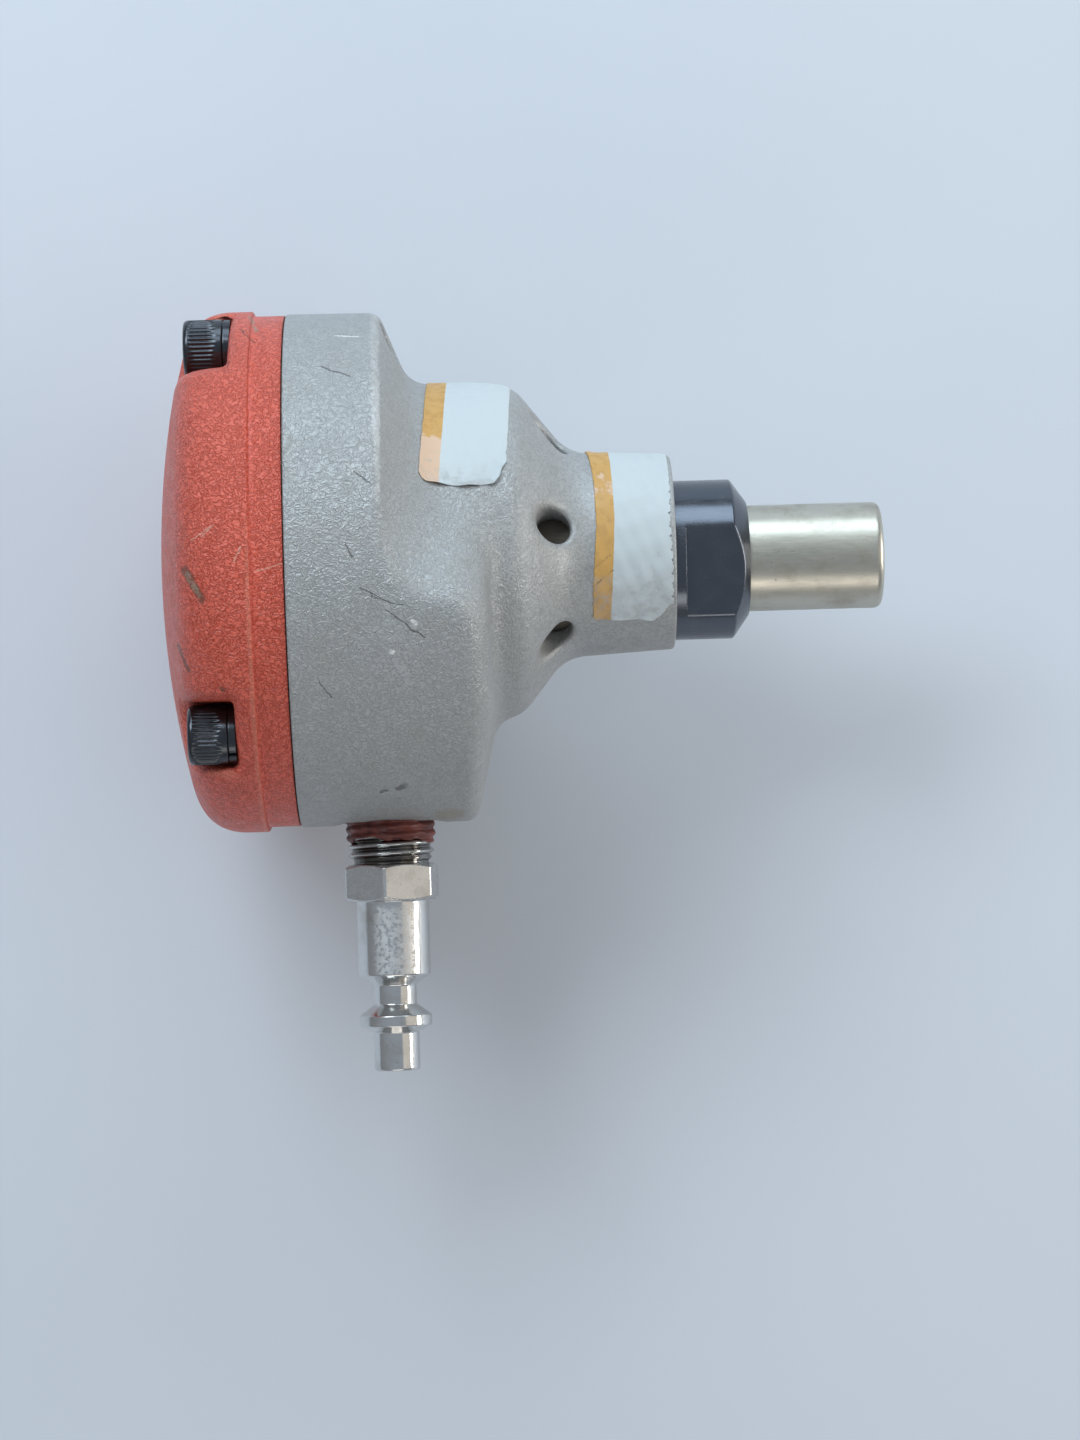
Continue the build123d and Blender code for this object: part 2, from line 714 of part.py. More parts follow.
# Retainer: chamfered round body with two flats, a collar left full and a shank in the neck
front_r = nose_r + retainer_front_land
groove_r = shank_r - retainer_groove_depth
x_groove = x_neck_end - retainer_groove_setback
with BuildPart() as nose_retainer:
    with BuildSketch(across(x_collar)):
        Circle(collar_r)
        Rectangle(retainer_d, retainer_flats, rotation=retainer_turn, mode=Mode.INTERSECT)
    extrude(amount=retainer_flat_length)
    turn(
        [
            (x_collar, 0),
            (x_collar, collar_r),
            (x_retainer - retainer_chamfer, collar_r),
            (x_retainer, front_r),
            (x_retainer, 0),
        ],
        mode=Mode.INTERSECT,
    )
    turn_rod(x_collar, x_neck_end, collar_r)
    turn_rod(x_neck_end, x_nose_flange, shank_r)
    turn_rod(x_retainer, x_nose_flange, nose_r + run_clear, mode=Mode.SUBTRACT)
    turn_ring(x_groove, x_groove - retainer_groove_width, shank_r, groove_r, mode=Mode.SUBTRACT)
finish(nose_retainer, "nose_retainer")

# O-ring under the collar
with BuildPart() as retainer_o_ring:
    torus_ring(x_groove - retainer_groove_width / 2, groove_r, neck_bore_r)
finish(retainer_o_ring, "retainer_o_ring")

# Air plug: plain thread core, wrench hexagon, shank, necked locking collar and tip
plug_outline = [
    (inlet_r, y_plug_end),
    (inlet_r, y_hex),
    (plug_shank_d / 2, y_hex),
    (plug_shank_d / 2, y_taper),
    (plug_neck_d / 2, y_plug_neck),
    (plug_neck_d / 2, y_collar),
    (plug_collar_d / 2, y_collar_rim),
    (plug_collar_d / 2, y_collar_back),
    (plug_tip_d / 2, y_tip),
    (plug_tip_d / 2, y_plug_tip),
    (plug_bore_d / 2, y_plug_tip),
    (plug_bore_d / 2, y_plug_end),
]
plug_corner_r = plug_hex_flats / 2 / cos(radians(30))
corner_drop = (plug_corner_r - plug_hex_flats / 2) * tan(radians(plug_hex_chamfer_angle))
hex_blank = [
    (plug_bore_d / 2, y_hex),
    (plug_hex_flats / 2, y_hex),
    (plug_corner_r, y_hex - corner_drop),
    (plug_corner_r, y_shank + corner_drop),
    (plug_hex_flats / 2, y_shank),
    (plug_bore_d / 2, y_shank),
]
with BuildPart() as air_plug:
    with BuildSketch(inlet_plane.offset(-y_hex)):
        RegularPolygon(plug_hex_flats / 2, 6, major_radius=False, rotation=plug_turn)
    extrude(amount=plug_hex_length)
    turn([(x_inlet + r, y) for r, y in hex_blank], axis=inlet_axis, mode=Mode.INTERSECT)
    turn([(x_inlet + r, y) for r, y in plug_outline], axis=inlet_axis)
finish(air_plug, "air_plug")

# Perforated screen on the floor of the inlet
with BuildPart() as inlet_screen:
    with BuildSketch(inlet_plane.offset(-y_inlet_floor)):
        Circle(inlet_r)
        Circle(screen_hole_d / 2, mode=Mode.SUBTRACT)
        with PolarLocations(screen_hole_pitch, 6):
            Circle(screen_hole_d / 2, mode=Mode.SUBTRACT)
    extrude(amount=screen_thickness)
finish(inlet_screen, "inlet_screen")
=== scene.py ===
import json

import bmesh
import bpy
import numpy as np
from mathutils import Matrix, Vector


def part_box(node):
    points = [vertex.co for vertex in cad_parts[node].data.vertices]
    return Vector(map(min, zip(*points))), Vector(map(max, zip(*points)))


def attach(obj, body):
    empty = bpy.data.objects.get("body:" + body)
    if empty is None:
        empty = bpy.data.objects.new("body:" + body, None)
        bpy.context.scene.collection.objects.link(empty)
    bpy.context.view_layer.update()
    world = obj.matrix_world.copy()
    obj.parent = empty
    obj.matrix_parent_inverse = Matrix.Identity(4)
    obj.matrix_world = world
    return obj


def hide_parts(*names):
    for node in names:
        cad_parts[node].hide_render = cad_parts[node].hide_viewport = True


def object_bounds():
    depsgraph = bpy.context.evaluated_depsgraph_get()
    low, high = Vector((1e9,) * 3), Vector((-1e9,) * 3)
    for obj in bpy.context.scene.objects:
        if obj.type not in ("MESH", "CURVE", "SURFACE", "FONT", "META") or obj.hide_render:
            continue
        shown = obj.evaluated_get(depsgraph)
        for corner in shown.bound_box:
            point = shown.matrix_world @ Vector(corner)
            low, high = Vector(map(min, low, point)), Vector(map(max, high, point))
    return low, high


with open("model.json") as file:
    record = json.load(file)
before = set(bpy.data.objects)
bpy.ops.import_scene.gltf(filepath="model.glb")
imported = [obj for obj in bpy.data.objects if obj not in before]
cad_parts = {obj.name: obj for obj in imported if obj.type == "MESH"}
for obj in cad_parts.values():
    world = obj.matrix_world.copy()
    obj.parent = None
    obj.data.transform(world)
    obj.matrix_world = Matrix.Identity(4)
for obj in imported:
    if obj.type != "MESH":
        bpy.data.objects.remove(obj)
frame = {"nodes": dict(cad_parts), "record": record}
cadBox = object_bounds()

mm = 0.001  # sizes below are in millimetres, the scene is in metres
mergeGap = 1e-6  # metres, points closer than this become one
fullTurn = 2 * np.pi
driveAxis = ((0, 0, 0), (1, 0, 0), (0, 1, 0), (0, 0, 1))  # origin, ahead, side and up
print("frame loaded:", len(frame["nodes"]), "nodes")


def nodeBox(name):
    # Lowest and highest corner of a CAD node, in millimetres
    low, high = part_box(name)
    return np.array(low) / mm, np.array(high) / mm


# Shapes: soft joins, fields, lines and grids of points

def smooth(value, low, high):
    # Smooth step from 0 at low to 1 at high: three times the square of the share, less twice its cube
    t = np.clip((value - low) / (high - low), 0, 1)
    return t * t * (3 - 2 * t)


def ramp(value, place, span):
    # Smooth step over a span that is counted from a place
    return smooth(value, place + span[0], place + span[1])


def ripple(value, waves):
    # Sum of sine waves, each given by its height, rate and phase
    return sum(height * np.sin(rate * value + phase) for height, rate, phase in waves)


def softMin(a, b, k):
    # Smaller of two values, with a quadratic blend where they differ by less than k
    h = np.maximum(k - np.abs(a - b), 0) / k
    return np.minimum(a, b) - h * h * k / 4


def softMax(a, b, k):
    # Larger of two values, blended in the same way
    return -softMin(-a, -b, k)


def lineHeight(x, r, start, end):
    # Height of points over the line from start back to end, in the plane of along and out
    run, rise = end[0] - start[0], end[1] - start[1]
    return ((x - start[0]) * rise - (r - start[1]) * run) / np.hypot(run, rise)


def bisect(shape, low, high, height, rounds=26):
    # Where a height that is negative at low and positive at high crosses zero, by halving the span
    inside, outside = np.full(shape, low), np.full(shape, high)
    for _ in range(rounds):
        middle = (inside + outside) / 2
        under = height(middle) < 0
        inside, outside = np.where(under, middle, inside), np.where(under, outside, middle)
    return (inside + outside) / 2


def settle(points, field, rounds=6, reach=0.02, longest=1.0, flattest=0.2):
    # Moves points on to a field's zero by Newton steps along its slope, taken from differences
    for _ in range(rounds):
        height = field(*np.moveaxis(points, -1, 0))
        ahead = [field(*np.moveaxis(points + shift, -1, 0)) for shift in np.eye(3) * reach]
        slope = np.stack([value - height for value in ahead], -1) / reach
        steep = np.maximum((slope ** 2).sum(-1, keepdims=True), flattest)
        points = points - np.clip(height, -longest, longest)[..., None] * slope / steep
    return points


edgeWear = {"edge": (0.35, 1.1), "hollow": (0.25, 0.9), "hollowLoss": 0.6}  # bends, from none to full


def bendOf(field, points, reach):
    # How sharply a field turns: its sum one reach away along each axis, less six times itself, over the reach
    bend = -6 * field(*points.T)
    for shift in np.eye(3) * reach:
        bend = bend + field(*(points + shift).T) + field(*(points - shift).T)
    return bend / reach


def evenTurns(spec):
    # Directions evenly spaced round the drive axis, from the phase on
    return np.radians(spec["phase"] + 360 / spec["count"] * np.arange(spec["count"]))


def angles(count):
    # Evenly spaced angles round a turned piece
    return np.arange(count)[None] * fullTurn / count


def columnOf(y, z, spec):
    # Place of the direction (y, z) among the columns of a grid, counted from its first
    turn = np.arctan2(z, y) - np.radians(spec["firstColumn"])
    return turn % fullTurn / fullTurn * spec["columns"]


def swing(along, out, theta, axis):
    # Points at height along on an axis and distance out from it, at angle theta round it
    origin, ahead, side, up = (np.array(v, float) for v in axis)
    along, out, theta = np.broadcast_arrays(along, out, theta)
    spoke = np.cos(theta)[..., None] * side + np.sin(theta)[..., None] * up
    return origin + along[..., None] * ahead + out[..., None] * spoke


def turned(line, theta, axis):
    # Points of a line of (along, out), turned about an axis
    return swing(line[:, :1], line[:, 1:], theta, axis)


def offCentre(radius, shift, phi):
    # Distance from the drive axis, in direction phi, to a circle set off from it by shift
    return shift * np.cos(phi) + np.sqrt(radius ** 2 - (shift * np.sin(phi)) ** 2)


def hexOut(theta, flats, turn, crisp):
    # Distance to the side of a hexagon with slightly rounded corners: a power mean of its six flats
    normals = np.radians(turn + 60 * np.arange(6))
    reach = np.maximum(np.cos(theta[..., None] - normals), 0) ** crisp
    return flats / 2 / reach.sum(-1) ** (1 / crisp)


def roundedLine(corners, closed=True, spacing=0.8, hold=0.1, steps=5):
    # Line through corners (along, out, radius): a radius becomes an arc tangent to both runs, and a straight
    # run gets evenly spaced points, with one close to each end that keeps its shading flat
    corners = np.array(corners, float)
    places = corners[:, :2]
    bends = []
    for k, (here, radius) in enumerate(zip(places, corners[:, 2])):
        if radius == 0:
            bends.append(here[None])
            continue
        back, ahead = places[k - 1] - here, places[(k + 1) % len(places)] - here
        back, ahead = back / np.linalg.norm(back), ahead / np.linalg.norm(ahead)
        half = np.arccos(np.clip(back @ ahead, -1, 1)) / 2
        middle = here + (back + ahead) / np.linalg.norm(back + ahead) * radius / np.sin(half)
        first, last = (here + way * radius / np.tan(half) - middle for way in (back, ahead))
        swept = np.pi - 2 * half
        t = np.linspace(0, 1, steps + 1)[:, None]
        bends.append(middle + (np.sin((1 - t) * swept) * first + np.sin(t * swept) * last) / np.sin(swept))
    line = []
    for k, bend in enumerate(bends):
        line.append(bend)
        if k == len(bends) - 1 and not closed:
            break
        start, end = bend[-1], bends[(k + 1) % len(bends)][0]
        length = np.linalg.norm(end - start)
        if length > 3 * hold:
            inner = np.linspace(hold, length - hold, max(int(length / spacing), 1) + 1)
            line.append(start + (end - start) * inner[:, None] / length)
    return np.concatenate(line)


def gridShell(points, wrapRows=False, wrapColumns=True, windows=()):
    # Quads of a grid of points: each joins the next row and column, a wrapped side joins its last line to its
    # first, and the quads inside a window (top and bottom row, left and right column) are left out
    rows, columns = points.shape[:2]
    i, j = np.indices((rows - (not wrapRows), columns - (not wrapColumns)))
    below, beside = (i + 1) % rows, (j + 1) % columns
    quads = [i * columns + j, below * columns + j, below * columns + beside, i * columns + beside]
    kept = np.ones(i.shape, bool)
    for top, bottom, left, right in windows:
        kept[top:bottom, left:right] = False
    return points.reshape(-1, 3), np.stack(quads, -1)[kept]


def borderOf(grid, window, flip=False):
    # Loop of grid points round a window, always from the same corner and the same way round
    top, bottom, left, right = window
    block = grid[top:bottom + 1, left:right + 1]
    block = block[::-1] if flip else block
    return np.concatenate([block[0, :-1], block[:-1, -1], block[-1, :0:-1], block[:0:-1, 0]])


def makePiece(name, shells, slot, marks=None, stands=None, finish=None):
    # One object from shells of points and quads: doubles are merged, so that seams and poles close, and the
    # faces are turned outwards; marks gives values per point for the finish to read
    firsts = np.cumsum([0] + [len(points) for points, _ in shells])
    points = np.concatenate([points for points, _ in shells]) * mm
    quads = np.concatenate([quads + first for (_, quads), first in zip(shells, firsts)])
    mesh = bpy.data.meshes.new(name)
    mesh.vertices.add(len(points))
    mesh.vertices.foreach_set("co", points.astype(np.float32).ravel())
    mesh.loops.add(quads.size)
    mesh.loops.foreach_set("vertex_index", quads.astype(np.int32).ravel())
    mesh.polygons.add(len(quads))
    mesh.polygons.foreach_set("loop_start", np.arange(0, quads.size, 4, dtype=np.int32))
    for key, values in (marks(points / mm) if marks else {}).items():
        layer = mesh.attributes.new(key, "FLOAT", "POINT")
        layer.data.foreach_set("value", values.astype(np.float32).ravel())
    mesh.update(calc_edges=True)
    work = bmesh.new()
    work.from_mesh(mesh)
    bmesh.ops.remove_doubles(work, verts=work.verts, dist=mergeGap)
    bmesh.ops.recalc_face_normals(work, faces=work.faces)
    work.to_mesh(mesh)
    work.free()
    mesh.polygons.foreach_set("use_smooth", np.ones(len(mesh.polygons), bool))
    mesh.materials.append(finishes[finish or slot])
    piece = bpy.data.objects.new(name, mesh)
    bpy.context.scene.collection.objects.link(piece)
    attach(piece, "tool_body")
    if stands:
        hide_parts(stands)
    print("piece:", name, len(mesh.polygons), "faces")


# Finishes: node materials on Object coordinates

class Finish:
    # Material with a Principled shader, and short ways to add nodes to it; sizes are in millimetres

    def __init__(self, name):
        # New material, with the coordinates that its patterns lie on
        self.material = bpy.data.materials.new(name)
        self.material.use_nodes = True
        self.tree = self.material.node_tree
        self.coords = self.add("ShaderNodeTexCoord", {}, "Object")

    def put(self, socket, value):
        # A socket takes a link from another node, or a value of its own
        if isinstance(value, bpy.types.NodeSocket):
            self.tree.links.new(value, socket)
        else:
            socket.default_value = value

    def add(self, kind, inputs, output=0, **settings):
        # Output of a new node with these inputs and settings
        node = self.tree.nodes.new(kind)
        for key, value in settings.items():
            setattr(node, key, value)
        for key, value in inputs.items():
            self.put(node.inputs[key], value)
        return node.outputs[output]

    def stretched(self, scale):
        # Coordinates times a scale along each axis
        return self.add("ShaderNodeMapping", {"Vector": self.coords, "Scale": scale})

    def noise(self, size, detail=2.0, rough=0.5, bend=0.0, at=None, output=0):
        # Noise with waves about as long as size
        inputs = {"Vector": self.coords if at is None else at, "Scale": 1 / (size * mm)}
        inputs.update({"Detail": detail, "Roughness": rough, "Distortion": bend})
        return self.add("ShaderNodeTexNoise", inputs, output)

    def spread(self, value, low, high, first=0.0, last=1.0):
        # Smooth step that takes low to first and high to last
        inputs = {"Value": value, "From Min": low, "From Max": high, "To Min": first, "To Max": last}
        return self.add("ShaderNodeMapRange", inputs, interpolation_type="SMOOTHSTEP")

    def maths(self, operation, a, b=0.0):
        # One operation on two values
        return self.add("ShaderNodeMath", {0: a, 1: b}, operation=operation)

    def plus(self, a, b):
        # Sum of two values
        return self.maths("ADD", a, b)

    def minus(self, a, b):
        # Difference of two values
        return self.maths("SUBTRACT", a, b)

    def times(self, a, b):
        # Product of two values
        return self.maths("MULTIPLY", a, b)

    def uneven(self, mark, cloud, amount):
        # A mark with a cloud of noise added, which is centred on zero and as strong as amount says
        return self.plus(self.mark(mark), self.times(self.minus(cloud, 0.5), amount))

    def mix(self, share, first, last):
        # Colour that share of the way from first to last
        return self.add("ShaderNodeMix", {0: share, 6: first, 7: last}, 2, data_type="RGBA")

    def mark(self, key):
        # One of the values that the piece carries at its points
        return self.add("ShaderNodeAttribute", {}, "Fac", attribute_name=key)

    def vector(self, operation, a, b=(0, 0, 0), output="Vector", scale=1.0):
        # One operation on two vectors
        return self.add("ShaderNodeVectorMath", {0: a, 1: b, 3: scale}, output, operation=operation)

    def wobbled(self, size, amount):
        # Coordinates pushed about by coloured noise, less its middle grey
        push = self.vector("SUBTRACT", self.noise(size, output="Color"), (0.5, 0.5, 0.5))
        return self.vector("ADD", self.coords, self.vector("SCALE", push, scale=amount * mm))

    def strokes(self, lines, at):
        # 1 on lines (start, end, width): distance to the nearest point of each, and the largest share wins
        flat = np.array((1.0, 1.0, 0.12))  # depth counts for little, so that a line lies on any skin
        at = self.vector("MULTIPLY", at, tuple(flat))
        total = None
        for start, end, wide in lines:
            first, run = np.array(start) * flat * mm, (np.array(end) - np.array(start)) * flat * mm
            away = self.vector("SUBTRACT", at, tuple(first))
            place = self.vector("DOT_PRODUCT", away, tuple(run), "Value")
            place = self.add("ShaderNodeClamp", {"Value": self.maths("DIVIDE", place, float(run @ run))})
            foot = self.vector("SCALE", tuple(run), scale=place)
            far = self.vector("DISTANCE", away, foot, "Value")
            share = self.spread(far, 0.25 * wide * mm, 0.5 * wide * mm, 1.0, 0.0)
            total = share if total is None else self.maths("MAXIMUM", total, share)
        return total

    def bump(self, height, depth, strength=1.0, over=None):
        # Normal tilted by a height that is depth tall, on top of another bump
        inputs = {"Height": height, "Distance": depth * mm, "Strength": strength}
        if over is not None:
            inputs["Normal"] = over
        return self.add("ShaderNodeBump", inputs)

    def shade(self, **sockets):
        # The material, once these sockets of its shader are set
        for key, value in sockets.items():
            self.put(self.tree.nodes["Principled BSDF"].inputs[key.replace("_", " ")], value)
        return self.material


def colour(r, g, b):
    # Colour with full alpha
    return (r, g, b, 1.0)


midRange = (0.3, 0.7)  # span that most of a noise lies in
paintLooks = {
    "housing_paint": {
        "base": colour(0.43, 0.435, 0.43), "shade": colour(0.34, 0.343, 0.34),
        "worn": colour(0.66, 0.66, 0.645), "wornShare": 0.7, "stain": colour(0.3, 0.26, 0.2),
        "stainShare": 0.2, "metallic": 0.35, "roughness": (0.42, 0.56), "relief": 0.3,
        "dark": colour(0.12, 0.11, 0.1),
        "darkLines": [  # start, end and width
            ((-85.4, 12.2, 40.1), (-82.5, 9.7, 39.6), 0.35),
            ((-81.0, 12.9, 34.8), (-78.6, 10.5, 29.5), 0.3),
            ((-78.6, 10.5, 29.5), (-72.9, 9.0, 26.9), 0.3),
            ((-85.1, -5.9, 41.5), (-80.3, -8.4, 39.4), 0.42),
            ((-81.4, -9.3, 39.6), (-75.5, -13.8, 38.9), 0.5),
            ((-83.3, -7.3, 40.9), (-76.0, -9.7, 39.4), 0.4),
            ((-72.9, -10.4, 39.3), (-68.3, -11.2, 39.2), 0.3),
            ((-87.2, 0.8, 41.9), (-86.2, -1.0, 41.9), 0.35),
            ((-83.2, -37.1, 18.9), (-82.2, -36.9, 19.2), 0.6),
            ((-80.6, -36.6, 19.8), (-79.4, -36.3, 20.1), 1.0),
            ((-90.5, 30.0, 29.5), (-86.0, 28.2, 31.2), 0.3),
            ((-92.0, -20.0, 37.0), (-90.2, -22.5, 35.6), 0.3),
        ],
        "pale": colour(0.9, 0.89, 0.86),
        "paleLines": [
            ((-77.3, -11.1, 39.4), (-76.7, -11.5, 39.4), 0.85),
            ((-80.8, -15.7, 38.4), (-80.4, -15.8, 38.4), 0.75),
            ((-88.5, 35.9, 21.6), (-84.6, 35.6, 22.2), 0.3),
        ],
        "blot": colour(0.33, 0.28, 0.2), "blots": [((-73.8, -40.9, 5.9), (-70.9, -40.6, 7.1), 2.6)],
    },
    "cap_paint": {
        "base": colour(0.74, 0.13, 0.082), "shade": colour(0.45, 0.05, 0.022),
        "worn": colour(0.78, 0.27, 0.18), "wornShare": 0.35, "stain": colour(0.2, 0.05, 0.03),
        "stainShare": 0.12, "metallic": 0.0, "roughness": (0.32, 0.44), "relief": 0.5,
        "dark": colour(0.12, 0.05, 0.025),
        "darkLines": [
            ((-112.2, -2.2, 39.6), (-109.5, -7.0, 41.4), 1.7),
            ((-114.0, -13.4, 32.6), (-112.2, -17.6, 35.6), 0.8),
            ((-103.5, 37.4, 20.8), (-101.2, 34.9, 23.4), 0.35),
            ((-107.2, -20.6, 37.3), (-107.0, -20.8, 37.3), 0.9),
        ],
        "pale": colour(0.7, 0.3, 0.22),
        "paleLines": [
            ((-109.3, 2.6, 41.9), (-107.7, 4.1, 42.4), 0.35),
            ((-104.3, -1.4, 42.8), (-103.2, 1.0, 42.8), 0.35),
            ((-101.3, -3.0, 41.9), (-97.2, -1.8, 41.8), 0.3),
            ((-110.8, 2.3, 41.1), (-107.4, 4.4, 42.4), 0.3),
        ],
        "blot": colour(0.33, 0.25, 0.17),
        "blots": [
            ((-111.7, -3.0, 39.9), (-110.0, -6.1, 41.1), 1.1),
            ((-102.2, 40.4, 14.1), (-101.1, 37.6, 18.7), 0.9),
        ],
    },
}
paintGrain = {
    "squiggle": (0.8, 1.0, 0.5, 0.9),  # noises have a size, detail, roughness and bend
    "squiggleEdge": (0.0, 0.1), "squiggleHeight": 1.5, "grit": (0.4, 1.0), "gritHeight": 0.35,
    "speck": (0.16, 2.0, 0.6), "speckRange": (0.62, 0.8, 0.0, 0.3), "speckDepth": (0.02, 0.4),
    "stain": (9.0, 5.0, 0.65), "stainRange": (0.5, 0.72), "fray": (1.4, 3.0, 0.65),
    "frayShare": 0.9, "wearRange": (0.85, 1.35), "gaps": (0.7, 3.0, 0.7),
    "gapRange": (0.3, 0.55, 0.35, 1.0), "strokeWobble": (1.6, 0.7), "blotWobble": (1.0, 0.9),
    "mottle": (0.8, 4.0, 0.7), "mottleRange": (0.3, 0.6), "gloss": (3.0, 3.0),
    # holeShade: share of the dark colour painted as shade deep in the holes
    "shares": {"pale": 0.9, "dark": 0.75, "blot": 0.75, "holeShade": 0.8}, "cutDepth": -0.12,
}


def paintFinish(name):
    # Textured paint: squiggles lie where warped noise is near its middle, as deep as the grain mark says, and
    # darken a little; worn edges go pale, and strokes add hairlines, scratches, chips and stains
    look, g, shares, n = paintLooks[name], paintGrain, paintGrain["shares"], Finish(name)
    squiggle = n.maths("ABSOLUTE", n.minus(n.noise(*g["squiggle"]), 0.5))
    height = n.plus(n.times(squiggle, g["squiggleHeight"]), n.times(n.noise(*g["grit"]), g["gritHeight"]))
    speck = n.noise(*g["speck"])
    base = n.mix(n.spread(squiggle, *g["squiggleEdge"]), look["shade"], look["base"])
    stained = n.spread(n.noise(*g["stain"]), *g["stainRange"], 0.0, look["stainShare"])
    base = n.mix(stained, base, look["stain"])
    base = n.mix(n.spread(speck, *g["speckRange"]), base, look["worn"])
    frayed = n.plus(n.mark("wear"), n.times(n.noise(*g["fray"]), g["frayShare"]))
    base = n.mix(n.spread(frayed, *g["wearRange"], 0.0, look["wornShare"]), base, look["worn"])
    near, gaps = n.wobbled(*g["strokeWobble"]), n.spread(n.noise(*g["gaps"]), *g["gapRange"])
    pale = n.times(n.strokes(look["paleLines"], near), gaps)
    base = n.mix(n.times(pale, shares["pale"]), base, look["pale"])
    hairs = n.times(n.strokes(look["darkLines"], near), gaps)
    base = n.mix(n.times(hairs, shares["dark"]), base, look["dark"])
    blots = n.strokes(look["blots"], n.wobbled(*g["blotWobble"]))
    blots = n.times(blots, n.spread(n.noise(*g["mottle"]), *g["mottleRange"]))
    base = n.mix(n.times(blots, shares["blot"]), base, look["blot"])
    # Painted shade: what lies deep in the holes goes over to the dark colour
    base = n.mix(n.times(n.mark("holeShade"), shares["holeShade"]), base, look["dark"])
    rough = n.spread(n.noise(*g["gloss"]), *midRange, *look["roughness"])
    skin = n.bump(height, look["relief"], n.mark("grain"), n.bump(speck, *g["speckDepth"]))
    cut = n.bump(hairs, g["cutDepth"], 1.0, skin)
    return n.shade(Base_Color=base, Metallic=look["metallic"], Roughness=rough, Normal=cut)


metalLooks = {
    # base and tarnish colour, lowest and highest roughness, and how metallic it is
    "nickel_plate": (colour(0.57, 0.545, 0.47), colour(0.3, 0.255, 0.19), (0.3, 0.46), 1.0),
    "chrome_plate": (colour(0.7, 0.7, 0.69), colour(0.44, 0.4, 0.35), (0.07, 0.22), 1.0),
    "black_steel": (colour(0.06, 0.064, 0.072), colour(0.085, 0.088, 0.094), (0.16, 0.3), 0.9),
    # the retainer's copy of black steel, lighter and bluer as a painted reflection on its flats
    "lit_black_steel": (colour(0.108, 0.12, 0.143), colour(0.14, 0.148, 0.165), (0.16, 0.3), 0.9),
    "ground_steel": (colour(0.55, 0.55, 0.56), colour(0.36, 0.34, 0.32), (0.25, 0.4), 1.0),
    "machined_aluminium": (colour(0.7, 0.7, 0.71), colour(0.5, 0.5, 0.5), (0.3, 0.45), 1.0),
    "bronze": (colour(0.6, 0.4, 0.2), colour(0.32, 0.2, 0.09), (0.25, 0.45), 1.0),
    "sintered_bronze": (colour(0.24, 0.215, 0.18), colour(0.15, 0.13, 0.105), (0.6, 0.85), 1.0),
}
metalGrain = {
    "streak": (1.0, 2.0, 0.6), "alongTool": (0.4, 6.0, 6.0),
    "alongPlug": (6.0, 0.35, 6.0),  # the plug lies across the tool
    "patches": (5.0, 4.0, 0.6), "tarnishRange": (0.45, 0.8, 0.0, 0.6), "pits": (0.5, 2.0),
    # darkening: colour of the painted dark reflection and shade on the plug's thread
    "pitRange": (0.68, 0.76), "pitShare": 0.7, "darkening": colour(0.07, 0.06, 0.05),
    "darkeningRange": (0.2, 0.55, 0.5, 0.95), "frost": (0.7, 4.0, 0.7), "frostRange": (0.35, 0.6),
    "frostRoughness": 0.45, "streakHeight": 0.3, "depth": (0.02, 0.5),
}


def metalFinish(name):
    # Bare or plated metal: tarnish in soft patches, fine streaks along the piece and small pits; a darkening
    # mark darkens it in patches, as painted dark reflection and shade on the plug's thread, and a frost mark
    # makes it duller
    (clean, tarnish, roughness, metallic), g, n = metalLooks[name], metalGrain, Finish(name)
    way = g["alongPlug"] if name == "chrome_plate" else g["alongTool"]
    streak, patches = n.noise(*g["streak"], at=n.stretched(way)), n.noise(*g["patches"])
    pits = n.spread(n.noise(*g["pits"]), *g["pitRange"])
    base = n.mix(n.spread(patches, *g["tarnishRange"]), clean, tarnish)
    base = n.mix(n.times(pits, g["pitShare"]), base, tarnish)
    # Painted dark reflection and shade where the darkening mark is: on the plug's thread, most at its roots
    base = n.mix(n.times(n.mark("darkening"), n.spread(patches, *g["darkeningRange"])), base, g["darkening"])
    frost = n.times(n.mark("frost"), n.spread(n.noise(*g["frost"]), *g["frostRange"]))
    rough = n.spread(n.plus(n.times(streak, 0.5), n.times(patches, 0.5)), *midRange, *roughness)
    rough = n.plus(rough, n.times(frost, g["frostRoughness"]))
    dents = n.bump(n.minus(n.times(streak, g["streakHeight"]), pits), *g["depth"])
    return n.shade(Base_Color=base, Metallic=metallic, Roughness=rough, Normal=dents)


softLooks = {
    # base and shade colour, lowest and highest roughness
    "seal_rubber": (colour(0.03, 0.03, 0.03), colour(0.015, 0.015, 0.015), (0.45, 0.65)),
    "urethane": (colour(0.5, 0.34, 0.11), colour(0.36, 0.22, 0.06), (0.35, 0.5)),
    "moulded_plastic": (colour(0.72, 0.68, 0.58), colour(0.6, 0.55, 0.45), (0.4, 0.55)),
    "gasket_sheet": (colour(0.05, 0.05, 0.048), colour(0.025, 0.024, 0.022), (0.7, 0.9)),
    "thread_sealant": (colour(0.21, 0.05, 0.034), colour(0.09, 0.02, 0.016), (0.35, 0.6)),
}
softGrain = {"mottle": (2.5, 4.0, 0.6), "gloss": (1.2, 3.0), "skin": (0.5, 3.0), "depth": (0.05, 0.5)}


def softFinish(name):
    # Rubber, plastic and sealant: mottled colour and a fine uneven skin
    (clean, shade, roughness), g, n = softLooks[name], softGrain, Finish(name)
    base = n.mix(n.spread(n.noise(*g["mottle"]), *midRange), shade, clean)
    rough = n.spread(n.noise(*g["gloss"]), *midRange, *roughness)
    return n.shade(Base_Color=base, Roughness=rough, Normal=n.bump(n.noise(*g["skin"]), *g["depth"]))


